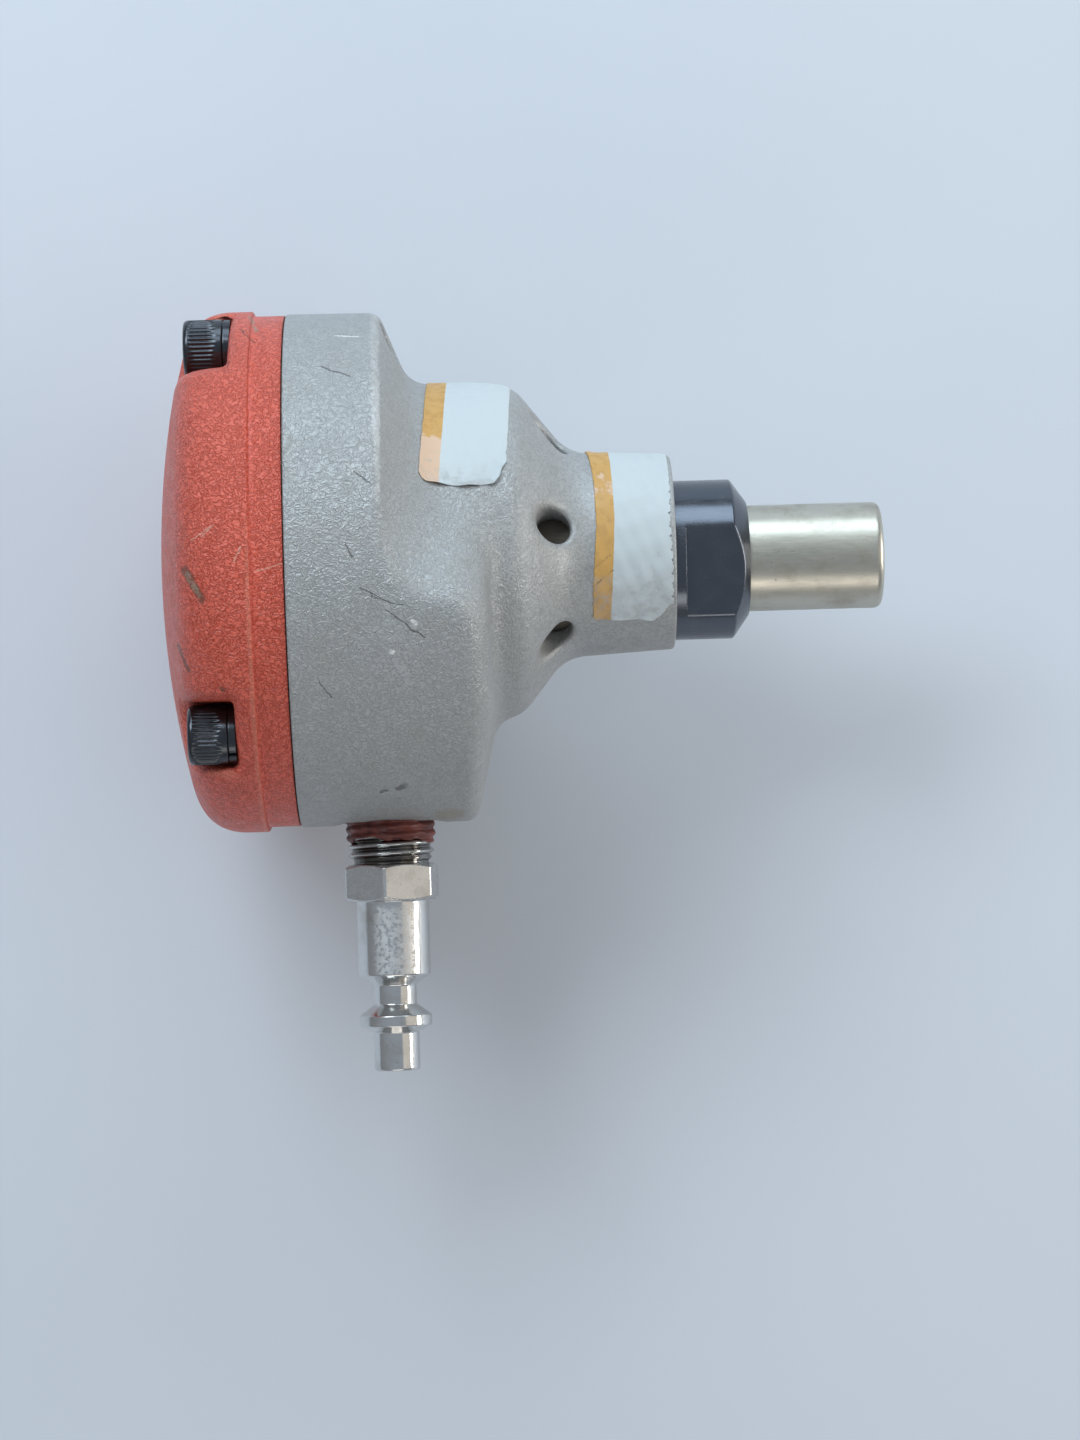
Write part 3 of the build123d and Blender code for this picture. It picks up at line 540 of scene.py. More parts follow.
paper = {
    "base": colour(0.56, 0.61, 0.62), "grey": colour(0.36, 0.36, 0.35),
    "gold": colour(0.6, 0.34, 0.1), "old": colour(0.42, 0.22, 0.06),
    "peach": colour(0.7, 0.48, 0.33), "brown": colour(0.24, 0.14, 0.07), "roughness": (0.4, 0.62),
    "cloud": (1.6, 4.0, 0.65), "fibre": (0.25, 2.0, 0.6), "blotch": (2.6, 5.0, 0.7),
    "oldRange": (0.45, 0.65, 0.0, 0.4), "fadeRange": (0.35, 0.6), "bandRange": (0.42, 0.55),
    "darkeningRange": (0.3, 0.8, 0.0, 0.75), "fibreRange": (0.25, 0.6),
    "creaseRange": (0.35, 0.75, 0.0, 0.85), "uneven": {"fade": 1.6, "band": 0.25, "darkening": 1.3},
    "fibreHeight": 0.3, "depth": (0.05, 0.6),
}


def stickerFinish():
    # Blank sticker: plain paper with a coloured band, faded, greyer and creased where the marks say so
    p, uneven, n = paper, paper["uneven"], Finish("sticker_film")
    cloud, fibre = n.noise(*p["cloud"]), n.noise(*p["fibre"])
    band = n.mix(n.spread(cloud, *p["oldRange"]), p["gold"], p["old"])
    band = n.mix(n.spread(n.uneven("fade", cloud, uneven["fade"]), *p["fadeRange"]), band, p["peach"])
    base = n.mix(n.spread(n.uneven("band", cloud, uneven["band"]), *p["bandRange"]), p["base"], band)
    # Greyer where the darkening mark says so, more towards the sticker's lower side
    greyed = n.uneven("darkening", n.noise(*p["blotch"]), uneven["darkening"])
    base = n.mix(n.spread(greyed, *p["darkeningRange"]), base, p["grey"])
    creased = n.times(n.mark("crease"), n.spread(fibre, *p["fibreRange"]))
    base = n.mix(n.spread(creased, *p["creaseRange"]), base, p["brown"])
    rough = n.spread(cloud, *midRange, *p["roughness"])
    skin = n.bump(n.minus(n.times(fibre, p["fibreHeight"]), creased), *p["depth"])
    return n.shade(Base_Color=base, Roughness=rough, Normal=skin)


finishes = {name: paintFinish(name) for name in paintLooks}
finishes["sticker_film"] = stickerFinish()
finishes.update({name: metalFinish(name) for name in metalLooks})
finishes.update({name: softFinish(name) for name in softLooks})
for row in frame["record"]["subparts"]:
    node = frame["nodes"][row["node"]]
    node.data.materials.clear()
    node.data.materials.append(finishes[row["material_slot"]])
print("finishes:", ", ".join(finishes))


# Nose tube
nose = {
    "radius": 8.75, "flange": 10.9, "flangeLength": 4.0, "bore": 5.5, "boreDepth": 8.0,
    "inside": 7.0, "tipRound": 1.2, "mouthRound": 0.35, "flangeRound": 0.15, "edge": 0.1,
    "columns": 128, "arcSteps": 8,
}


def makeNose():
    # Turned tube: outside with a rounded tip, nail bore, wider inside and a flange at its back
    back = nodeBox("nose")[0][0]
    step, deep, edge = back + nose["flangeLength"], -nose["boreDepth"], nose["edge"]
    line = roundedLine([
        (0, nose["bore"], nose["mouthRound"]), (0, nose["radius"], nose["tipRound"]),
        (step, nose["radius"], edge), (step, nose["flange"], nose["flangeRound"]),
        (back, nose["flange"], nose["flangeRound"]), (back, nose["inside"], edge),
        (deep, nose["inside"], edge), (deep, nose["bore"], edge),
    ], steps=nose["arcSteps"])
    shell = gridShell(turned(line, angles(nose["columns"]), driveAxis), wrapRows=True)
    makePiece("nose_tube", [shell], "nickel_plate", stands="nose")


# Retainer: round gland with two wrench flats
retainer = {
    "radius": 13.15, "flats": 21.8,
    "facing": 103.8,  # degrees from +Y towards +Z, the way the upper flat faces
    "flatLength": 10.8, "flatRunOut": 0.25, "flatRise": 3.0, "front": 9.5, "chamfer": 2.6,
    "bore": 8.8, "bodyLength": 13.5, "shank": 11.5, "groove": 10.4, "grooveSetback": 0.8,
    "grooveWidth": 1.4, "lip": 0.2, "edge": 0.1, "shankRound": 0.3, "boreRounds": (0.2, 0.25),
    "blends": {"flat": 0.1, "cone": 0.35}, "columns": (44, 60, 44, 60),
}


def makeRetainer():
    # Round body whose distance out is cut down by two flats and by a cone at the front, then a grooved shank
    r, edge, lip = retainer, retainer["edge"], retainer["lip"]
    (back, *_), (front, *_) = nodeBox("nose_retainer")
    collarBack, flatEnd, coneEnd = (front - r[key] for key in ("bodyLength", "flatLength", "chamfer"))
    half = np.degrees(np.arccos(r["flats"] / 2 / r["radius"]))
    stops = r["facing"] + np.array([-half, half, 180 - half, 180 + half, 360 - half])
    spans = zip(stops, stops[1:], r["columns"])
    theta = np.radians(np.concatenate([np.linspace(a, b, n, endpoint=False) for a, b, n in spans]))[None]
    rows = [  # first, last and number of rows, closer together where the shape turns
        (front - 0.4, coneEnd - 0.8, 26), (coneEnd - 1.1, flatEnd + 0.3, 24),
        (flatEnd + 0.25, flatEnd - 0.1, 8), (flatEnd - 0.4, collarBack + 0.3, 4),
    ]
    x = np.concatenate([front - np.linspace(0, 0.3, 5) ** 1.4, *(np.linspace(*row) for row in rows)])[:, None]
    flat = r["flats"] / 2 / np.maximum(np.abs(np.cos(theta - np.radians(r["facing"]))), 0.3)
    flat = flat + r["flatRise"] * smooth(x, flatEnd + r["flatRunOut"], flatEnd)
    cone = r["front"] + (front - x) * (r["radius"] - r["front"]) / r["chamfer"]
    out = softMin(r["radius"] + 0 * flat, flat, r["blends"]["flat"])
    out = softMin(out, cone + 0 * flat, r["blends"]["cone"])
    groove = collarBack - r["grooveSetback"]
    grooveEnd = groove - r["grooveWidth"]
    line = roundedLine([
        (collarBack + lip, r["radius"], 0), (collarBack, r["radius"] - lip, 0),
        (collarBack, r["shank"], edge), (groove, r["shank"], edge), (groove, r["groove"], edge),
        (grooveEnd, r["groove"], edge), (grooveEnd, r["shank"], edge),
        (back, r["shank"], r["shankRound"]), (back, r["bore"], r["boreRounds"][0]),
        (front, r["bore"], r["boreRounds"][1]), (front, r["front"] - lip, 0),
    ], closed=False)
    grid = np.concatenate([swing(x, out, theta, driveAxis), turned(line, theta, driveAxis)])
    shell = gridShell(grid, wrapRows=True)
    # its finish is the lighter copy of black steel, a painted reflection
    makePiece("retainer", [shell], "black_steel", stands="nose_retainer", finish="lit_black_steel")


# Air plug with its thread and the sealant on it
plugLow, plugHigh = nodeBox("air_plug")
plug = {
    "root": 6.4, "crest": 7.1, "pitch": 1.41, "ridgePower": 0.8,
    "runOut": (0.3, 1.5),  # from the hexagon to where the thread starts and is whole
    "runOutDrop": 0.25, "threadRow": 0.11,
    "face": -41.7,  # flat on the lobe that the thread comes out of
    "buried": 2.0, "hexTop": -48.7, "hexLength": 6.0, "flats": 14.29,
    "firstFlat": 68.0,  # degrees from +X towards +Z
    "hexCrisp": 90, "hexChamfer": 25.0,
    "hexFace": 0.2,  # how far the round end face lies inside the flats
    "hexBlend": 0.3, "shank": 5.95, "taper": -66.9, "neckTop": -68.5, "neck": 3.5,
    "collarTop": -71.7, "collarRim": -73.5, "collarBack": -75.2, "collar": 5.95, "tipTop": -76.3,
    "tip": 3.75, "bore": 2.6, "columns": 216,
    "frost": {"up": (0.78, 0.92), "taper": (-0.2, 0.5), "hexagon": (-0.6, -1.4), "hexShare": 0.4},
    # crestLit: share by which the thread's crests are spared the painted shade
    "crestLit": 0.6,
}
plugX = (plugLow[0] + plugHigh[0]) / 2
plugAxis = ((plugX, 0, 0), (0, 1, 0), (1, 0, 0), (0, 0, 1))
hexEnd = plug["hexTop"] - plug["hexLength"]


def threadOut(y, theta):
    # Helical thread: a rounded ridge that climbs one pitch per turn and runs out short of the hexagon
    ridge = (0.5 + 0.5 * np.cos(fullTurn * y / plug["pitch"] + theta)) ** plug["ridgePower"]
    runOut = ramp(y, plug["hexTop"], plug["runOut"])
    depth = plug["crest"] - plug["root"]
    return plug["root"] + depth * ridge * runOut - plug["runOutDrop"] * (1 - runOut)


def plugMarks(points):
    # The thread is darkened as a painted dark reflection, more at its roots as painted shade; the shank's
    # upper side and the hexagon are rubbed dull
    p, f = plug, plug["frost"]
    x, y, z = points.T
    out = np.hypot(x - plugX, z)
    shank = smooth(z / p["shank"], *f["up"]) * ramp(y, p["taper"], f["taper"]) * ramp(y, hexEnd, f["hexagon"])
    hexagon = ramp(y, hexEnd, (-0.05, 0.05)) * ramp(y, p["hexTop"], (0.05, -0.05))
    threaded = ramp(y, p["hexTop"], (-0.05, 0.1))
    return {
        # painted dark reflection over the thread and painted shade at its roots, with the crests kept lighter
        "darkening": threaded * (1 - p["crestLit"] * smooth(out, p["root"], p["crest"])),
        "frost": np.maximum(shank, f["hexShare"] * hexagon),
    }


def makePlug():
    # Threaded core, chamfered wrench hexagon, then turned shank, neck, locking collar and tip, with a bore
    p, theta = plug, angles(plug["columns"])
    inside, tip = p["face"] + p["buried"], plugLow[1]
    y = np.arange(inside, p["hexTop"] + 0.05, -p["threadRow"])[:, None]
    thread = swing(y, threadOut(y, theta), theta, plugAxis)
    depth = np.concatenate([np.linspace(0, 0.9, 10), np.linspace(1.1, p["hexLength"] / 2, 8)])
    y = np.concatenate([p["hexTop"] - depth, (hexEnd + depth)[::-1]])[:, None]
    fromEnd = np.minimum(p["hexTop"] - y, y - hexEnd)
    chamfer = p["flats"] / 2 - p["hexFace"] + fromEnd / np.tan(np.radians(p["hexChamfer"]))
    flats = hexOut(theta, p["flats"], p["firstFlat"], p["hexCrisp"])
    hexagon = swing(y, softMin(flats + 0 * y, chamfer + 0 * theta, p["hexBlend"]), theta, plugAxis)
    line = roundedLine([
        (hexEnd, p["flats"] / 2 - p["hexFace"] - 0.15, 0), (hexEnd, p["shank"], 0.2),
        (p["taper"], p["shank"], 0.5), (p["neckTop"], p["neck"], 0.5),
        (p["collarTop"], p["neck"], 0.3), (p["collarRim"], p["collar"], 0.25),
        (p["collarBack"], p["collar"], 0.25), (p["tipTop"], p["tip"], 0.25), (tip, p["tip"], 0.45),
        (tip, p["bore"], 0.3), (inside, p["bore"], 0),
    ], closed=False)
    shell = gridShell(np.concatenate([thread, hexagon, turned(line, theta, plugAxis)]), wrapRows=True)
    makePiece("quick_plug", [shell], "chrome_plate", plugMarks, "air_plug")


sealant = {
    "reach": 3.1, "overlap": 0.15, "thickness": 0.28, "inside": 6.5,
    "fill": 0.4,  # share of the thread's depth that is filled up
    "edge": [(0.5, 2, 0.7), (0.35, 5, 0), (0.2, 11, 2)],  # waves of the lower edge
    "edgeHeight": 0.7, "rows": 40, "columns": 144,
}


def makeSealant():
    # Uneven skin of sealant over the first turns of the thread, with a ragged lower edge
    s, theta = sealant, angles(sealant["columns"])
    share = np.linspace(0, 1, s["rows"])[:, None]
    reach = s["reach"] + s["edgeHeight"] * ripple(theta, s["edge"])
    y = plug["face"] + s["overlap"] - share * (reach + s["overlap"])
    lumps = 0.5 + 0.25 * np.sin(7 * theta + 3 * y) + 0.25 * np.sin(13 * theta - 5 * y)
    skin = s["thickness"] * (0.5 + lumps) * (1 - share ** 6)
    out = (1 - s["fill"]) * threadOut(y, theta) + s["fill"] * plug["crest"] + skin
    outside = swing(y, out, theta, plugAxis)
    inside = swing(y[::-1][::6], s["inside"] + 0 * theta, theta, plugAxis)
    shell = gridShell(np.concatenate([outside, inside]), wrapRows=True)
    makePiece("plug_sealant", [shell], "thread_sealant")


# Cap screws and lock washers
screwLow, screwHigh = nodeBox("cap_screws")
screws = {
    "count": 3, "phase": 17.0, "circle": 37.4, "head": 4.75, "headHeight": 6.35, "headRound": 0.75,
    "shank": 3.1, "tipRound": 0.6, "socket": 4.76, "socketDepth": 3.2, "socketCone": 0.6,
    "socketCrisp": 60, "ridges": 40, "ridgeDepth": 0.26, "ridgePower": 1.5, "ridgeColumns": 6,
    "knurlTop": (0.95, 1.3),  # from the head's top to where the knurling starts and is whole
    "knurlFoot": (-1.3, -1.7),  # and the same from its underside
    "washerOut": 4.65, "washerIn": 3.4, "washerThickness": 1.35, "washerRound": 0.2,
    "washerSplit": 0.9, "washerColumns": 72,
}
screwUnder = screwLow[0] + screws["headHeight"]


def screwPlaces():
    # Where the screw axes cross the plane across the drive axis
    turns = evenTurns(screws)
    return screws["circle"] * np.stack([np.cos(turns), np.sin(turns)], -1)


def screwShell(axis):
    # Turned head with straight knurling, a hexagon socket in its top and a plain shank
    s, theta = screws, angles(screws["ridges"] * screws["ridgeColumns"])
    top, under, tip, deep = screwLow[0], screwUnder, screwHigh[0], screws["socketDepth"]
    line = roundedLine([
        (top, s["socket"] / 2 + 0.75, 0), (top, s["head"], s["headRound"]), (under, s["head"], 0.2),
        (under, s["shank"], 0.1), (tip, s["shank"], s["tipRound"]), (tip, 0, 0),
    ], closed=False, spacing=0.5)
    along, out = line[:, :1], line[:, 1:]
    knurled = ramp(along, top, s["knurlTop"]) * ramp(along, under, s["knurlFoot"])
    groove = (0.5 + 0.5 * np.cos(s["ridges"] * theta)) ** s["ridgePower"]
    outside = swing(along, out - s["ridgeDepth"] * groove * knurled, theta, axis)
    depth, share = np.array([
        (0, 1.06), (0, 1.025), (0.06, 1.0), (0.25, 0.99),
        (deep - 0.1, 0.99), (deep, 0.96), (deep + s["socketCone"], 0),
    ]).T[..., None]
    socket = swing(top + depth, share * hexOut(theta, s["socket"], 0, s["socketCrisp"]), theta, axis)[::-1]
    return gridShell(np.concatenate([socket, outside]))


def washerShell(axis):
    # Split ring: a rounded square section carried round the screw, closed at both ends of the split
    s, corner = screws, screws["washerRound"]
    foot = screwUnder + s["washerThickness"]
    section = roundedLine([
        (screwUnder, s["washerIn"], corner), (screwUnder, s["washerOut"], corner),
        (foot, s["washerOut"], corner), (foot, s["washerIn"], corner),
    ], spacing=0.4, steps=3)
    gap = s["washerSplit"] / 2 / s["washerOut"]
    points = turned(section, np.linspace(gap, fullTurn - gap, s["washerColumns"])[None], axis)
    ends = points.mean(0, keepdims=True) + 0 * points
    points = np.concatenate([ends[:, :1], points, ends[:, -1:]], axis=1)
    return gridShell(points, wrapRows=True, wrapColumns=False)


def makeScrews():
    # All screws in one piece and all washers in another, each about its own axis, from the outward side on
    axes = []
    for (y, z), turn in zip(screwPlaces(), evenTurns(screws)):
        outward, sideways = (0, np.cos(turn), np.sin(turn)), (0, -np.sin(turn), np.cos(turn))
        axes.append(((0, y, z), (1, 0, 0), outward, sideways))
    makePiece("cap_screw_set", [screwShell(axis) for axis in axes], "black_steel", stands="cap_screws")
    makePiece("washer_set", [washerShell(axis) for axis in axes], "black_steel", stands="lock_washers")


# Housing casting
housing = {
    "axisShift": 1.4,  # the neck stands off the drive axis, away from the inlet
    "barrelShift": 2.2,  # and so do the cone and the barrel
    "shoulderLead": 1.2,  # the shoulder stands further forward on the side away from the inlet
    "neckEnd": (-34.5, 16.0), "neckRoot": (-51.8, 16.9), "coneTop": (-59.9, 27.1),
    "barrelFront": (-66.0, 28.0), "shoulderFoot": (-77.3, 28.0), "shoulderTop": (-82.9, 42.1),
    "parting": (-96.7, 42.2),
    "partingEdge": [(0.3, 0.0), (0.09, -0.07), (0.0, -0.3), (0.0, -1.0)],  # from the parting corner
    "endRound": 0.45, "shoulderSlope": 22.0, "draft": 1.5, "flankSlope": 43.0, "flankDepth": 25.0,
    "lobeFront": -63.7, "lobeBreak": -24.0, "lobeLean": 12.6,
    "lobeDraft": 3.2,  # degrees, the front falls back on both sides of the mid plane
    "frontRound": 4.0,
    "blends": {
        "neck": 2.64, "cone": 1.67, "lead": 0.4, "lean": 0.7, "lobeEdge": 6.0, "step": 11.0,
        "flange": 1.2, "flangeTop": 1.75, "ridge": 1.9, "lobe": 2.6, "lobeSide": 5.5, "barrel": 3.2,
    },
    "ranges": {  # where one value gives way to the next
        "shoulderLead": (-12, 12), "lobeSide": (12, 34), "flangeTop": (18, 30),
        "ridge": (-82, -76), "lobe": (-72, -65),
    },
    "rows": (30, 34, 16, 30, 38, 22), "columns": 336,
    "firstColumn": -13.0,  # degrees, clear of every hole
    "rayOrigin": -80.0, "rayLength": 72.0, "search": (12.0, 60.0),
    "bores": [
        (-96.7, 24.23), (-93.7, 24.23), (-93.7, 23.5), (-67.9, 23.5), (-67.9, 19.53), (-59.9, 19.53),
        (-59.9, 13.5), (-50.5, 13.5), (-50.5, 8.03), (-47.0, 8.03), (-47.0, 11.53), (-35.6, 11.53),
        (-35.6, 13.3), (-34.5, 13.3),
    ],
    "boreRow": 6.0, "chamber": 13.5, "chamberRows": 42,
    # holes: the margin is left round the rim's edge, and the skin is searched for between two distances
    "exhaust": {
        "x": -54.4, "phase": 20.0, "count": 6,
        "radius": 2.8, "edge": 1.3, "margin": 0.9, "search": (14.0, 40.0),
    },
    "tapped": {"radius": 3.13, "edge": 0.8, "margin": 0.6, "search": (-95.0, -60.0), "floor": -89.0},
    "inlet": {
        "radius": 6.43, "edge": 0.4, "margin": 3.0, "search": (20.0, 60.0), "floor": 30.5,
        "flat": 41.7, "flatReach": 2.6,
    },
    "marks": {
        "reach": 1.6, "neckGrain": 0.3, "coneGrain": (0.25, -50, -57), "barrelGrain": (0.45, -58, -66),
        # holeShade: depths inside the skin over which the painted shade in the holes deepens
        "upperWear": (0.35, 12, 28), "outside": -0.3, "holeShade": (3.0, 8.0),
    },
}
castOutline = ("neckEnd", "neckRoot", "coneTop", "barrelFront", "shoulderFoot", "shoulderTop", "parting")
castAxis = ((0, housing["axisShift"], 0), (1, 0, 0), (0, 1, 0), (0, 0, 1))


def housingField(x, y, z):
    # Height over the casting: the barrel's lines about its own axis, joined by a soft minimum to the flange
    # and lobe, which share a drafted skin and are held back by the shoulder, the flanks and the lobe's front
    h, k, over = housing, housing["blends"], housing["ranges"]
    r, c = np.hypot(y, z), np.hypot(y - h["barrelShift"], z)
    neck = lineHeight(x, np.hypot(y - h["axisShift"], z), h["neckEnd"], h["neckRoot"])
    cone = lineHeight(x, c, h["neckRoot"], h["coneTop"])
    lead = lineHeight(x, c, h["coneTop"], h["barrelFront"])
    barrel = softMax(softMax(cone, lead, k["cone"]), c - h["barrelFront"][1], k["lead"])
    barrel = softMin(neck, barrel, k["neck"])
    skin = lineHeight(x, r, h["shoulderTop"], h["parting"])
    tilts = ("shoulderSlope", "flankSlope", "lobeLean", "draft", "lobeDraft")
    slope, flank, lean, draft, fall = (np.radians(h[key]) for key in tilts)
    topX = h["shoulderTop"][0] + h["shoulderLead"] * smooth(y, *over["shoulderLead"])
    shoulder = (x - topX) * np.cos(slope) + (r - h["shoulderTop"][1]) * np.sin(slope)
    raised = y - h["axisShift"]
    side = raised * np.sin(flank) + np.abs(z) * np.cos(flank) - h["flankDepth"]
    side = side + (x - h["parting"][0]) * np.tan(draft)
    side = np.maximum(side, raised - h["flankDepth"] * np.sin(flank))
    front = x - h["lobeFront"] + (np.hypot(z, h["frontRound"]) - h["frontRound"]) * np.tan(fall)
    front = softMax(front, front * np.cos(lean) - (y - h["lobeBreak"]) * np.sin(lean), k["lean"])
    step = softMin(shoulder, softMax(side, front, k["lobeEdge"]), k["step"])
    wide = k["lobe"] + (k["lobeSide"] - k["lobe"]) * smooth(np.abs(z), *over["lobeSide"])
    edge = k["flange"] + (k["flangeTop"] - k["flange"]) * smooth(y, *over["flangeTop"])
    corner = edge + (k["ridge"] - edge) * smooth(x, *over["ridge"])
    corner = corner + (wide - k["ridge"]) * smooth(x, *over["lobe"])
    return softMin(softMax(skin, step, corner), barrel, k["barrel"])


def housingMarks(points):
    # Grain fades from the barrel over the cone to the neck, and in hollows; wear grows where an outer edge is
    # rounded off, most on the upper side, and painted shade darkens what lies deep in the holes
    x, y, z = points.T
    m, skin = housing["marks"], housingField(x, y, z)
    bend = bendOf(housingField, points, m["reach"])
    spans = (m["coneGrain"], m["barrelGrain"])
    grain = m["neckGrain"] + sum(share * smooth(x, *span) for share, *span in spans)
    more, *upper = m["upperWear"]
    return {
        "grain": grain * (1 - edgeWear["hollowLoss"] * smooth(-bend, *edgeWear["hollow"])),
        "wear": smooth(bend * (1 + more * smooth(y, *upper)), *edgeWear["edge"]) * (skin > m["outside"]),
        "holeShade": smooth(-skin, *m["holeShade"]),
    }


def holeFrame(origin, outward, along):
    # Origin and three directions of a hole: along and across the skin, and out of it
    outward, along = np.array(outward, float), np.array(along, float)
    return np.array(origin, float), along, np.cross(outward, along), outward


def inFrame(hole, u, v, t):
    # Point at u along, v across and t out of a hole's frame
    origin, along, across, outward = hole
    return origin + u[..., None] * along + v[..., None] * across + t[..., None] * outward


def skinOver(hole, u, v, search):
    # How far out the skin lies over the point (u, v) of a hole's frame
    def height(t):
        # Height over the casting at t out of the frame
        return housingField(*np.moveaxis(inFrame(hole, u, v, t), -1, 0))

    return bisect(u.shape, *search, height)


def chamberOut(hole, u, v):
    # How far out the chamber's wall lies over (u, v): the farther root of a line that meets a circle
    start = inFrame(hole, 0 * u, v, 0 * u)[..., 1:]
    b = start @ hole[3][1:]
    return -b + np.sqrt(b * b - (start ** 2).sum(-1) + housing["chamber"] ** 2)


def windowFor(grid, rows, hole, spec):
    # Rows and columns of the grid that hold a circle round a hole, found by their angles about the drive axis
    # and about the point that the rays come from
    h, theta = housing, np.linspace(0, fullTurn, 73)
    reach = spec["radius"] + spec["edge"] + spec["margin"]
    u, v = reach * np.cos(theta), reach * np.sin(theta)
    ring = inFrame(hole, u, v, skinOver(hole, u, v, spec["search"]))
    column = columnOf(ring[:, 1], ring[:, 2], h)
    left, right = int(column.min()), int(column.max()) + 1

    def tilt(points):
        # Angle of points about the rays' origin
        return np.arctan2(np.hypot(points[..., 1], points[..., 2]), points[..., 0] - h["rayOrigin"])

    block, wanted = tilt(grid[rows[0]:rows[1], left:right + 1]), tilt(ring)
    top, bottom = int((block.max(1) < wanted.min()).sum()) - 1, int((block.min(1) <= wanted.max()).sum())
    return rows[0] + top, rows[0] + bottom, left, right


def holePatch(border, hole, spec, far=None):
    # Rings from a window's border to a rounded rim and down the wall of a hole, which ends in a flat floor or
    # opens into the chamber through a second window far below; a milled flat cuts down the skin round it
    origin, along, across, _ = hole
    radius, edge = spec["radius"], spec["edge"]
    away = border - origin
    u, v = away @ along, away @ across
    reach, theta = np.hypot(u, v), np.arctan2(v, u)
    share = np.linspace(0, 1, 8)[1:, None]
    beta = np.radians([15, 30, 45, 60, 75, 90])[:, None]
    leading = reach * (1 - share) + (radius + edge) * share
    rings = np.concatenate([leading, radius + edge - edge * np.sin(beta) + 0 * theta])
    drop = np.concatenate([0 * share, edge * (1 - np.cos(beta))])
    u, v = rings * np.cos(theta), rings * np.sin(theta)
    t = skinOver(hole, u, v, spec["search"])
    if "flat" in spec:
        t = np.where(rings < radius + spec["flatReach"], np.minimum(t, spec["flat"]), t)
    grids = [border[None], inFrame(hole, u, v, t - drop)]
    rim = (t - drop)[-1]
    if far is None:
        depth = np.array([0.08, 0.5, 0.92, 1, 1, 1])[:, None]
        out = radius * np.array([1, 1, 1, 0.97, 0.5, 0])[:, None] + 0 * theta
        down = rim * (1 - depth) + spec["floor"] * depth
        grids.append(inFrame(hole, out * np.cos(theta), out * np.sin(theta), down))
    else:
        away = far - origin
        farTheta, farReach = np.arctan2(away @ across, away @ along), np.hypot(away @ along, away @ across)
        twist = (farTheta - theta + np.pi) % fullTurn - np.pi
        end = chamberOut(hole, radius * np.cos(farTheta), radius * np.sin(farTheta))
        way = theta + twist * share
        down = rim * (1 - share) + end * share
        grids.append(inFrame(hole, radius * np.cos(way), radius * np.sin(way), down))
        out = radius * (1 - share[:-1]) + farReach * share[:-1]
        u, v = out * np.cos(farTheta), out * np.sin(farTheta)
        grids += [inFrame(hole, u, v, chamberOut(hole, u, v)), far[None]]
    return gridShell(np.concatenate(grids))


def castRim(phi):
    # Rounded end of the neck, a quarter circle turned about the neck's own axis
    (endX, endR), edge = housing["neckEnd"], housing["endRound"]
    beta = np.radians([90, 70, 50, 30, 10])[:, None]
    rimX, rimR = endX - edge * (1 - np.sin(beta)), endR - edge * (1 - np.cos(beta))
    return swing(rimX, offCentre(rimR, housing["axisShift"], phi), phi, driveAxis)


def castSkin(phi):
    # Rays from a point on the drive axis, aimed along a rough outline, meet the skin in every half plane
    h = housing
    corners = np.array([h[key] for key in castOutline])
    shifts = np.array([1, 1, 1, 1, 1, 0, 0]) * h["axisShift"]
    places = np.concatenate([k + np.arange(n) / n for k, n in enumerate(h["rows"])])[1:]
    stops = np.arange(len(corners))
    aimX, aimR, shift = (np.interp(places, stops, column)[:, None] for column in (*corners.T, shifts))
    aimX, aimR = aimX - h["rayOrigin"], offCentre(aimR, shift, phi)
    length = np.hypot(aimX, aimR)
    stepX, stepR = aimX / length, aimR / length

    def height(t):
        # Height over the casting at a distance t along each ray
        return housingField(h["rayOrigin"] + t * stepX, t * stepR * np.cos(phi), t * stepR * np.sin(phi))

    t = bisect(stepR.shape, 0.0, h["rayLength"], height)
    return swing(h["rayOrigin"] + t * stepX, t * stepR, phi, driveAxis)


def boreLine():
    # Points along the stepped bores, close together in the chamber, where the exhaust holes come in
    h = housing
    line = [np.array(h["bores"][:1])]
    for start, end in zip(h["bores"], h["bores"][1:]):
        count = max(int(np.hypot(start[0] - end[0], start[1] - end[1]) / h["boreRow"]), 1) + 1
        if start[1] == end[1] == h["chamber"]:
            count = h["chamberRows"]
        line.append(np.linspace(start, end, count + 1)[1:])
    return np.concatenate(line)


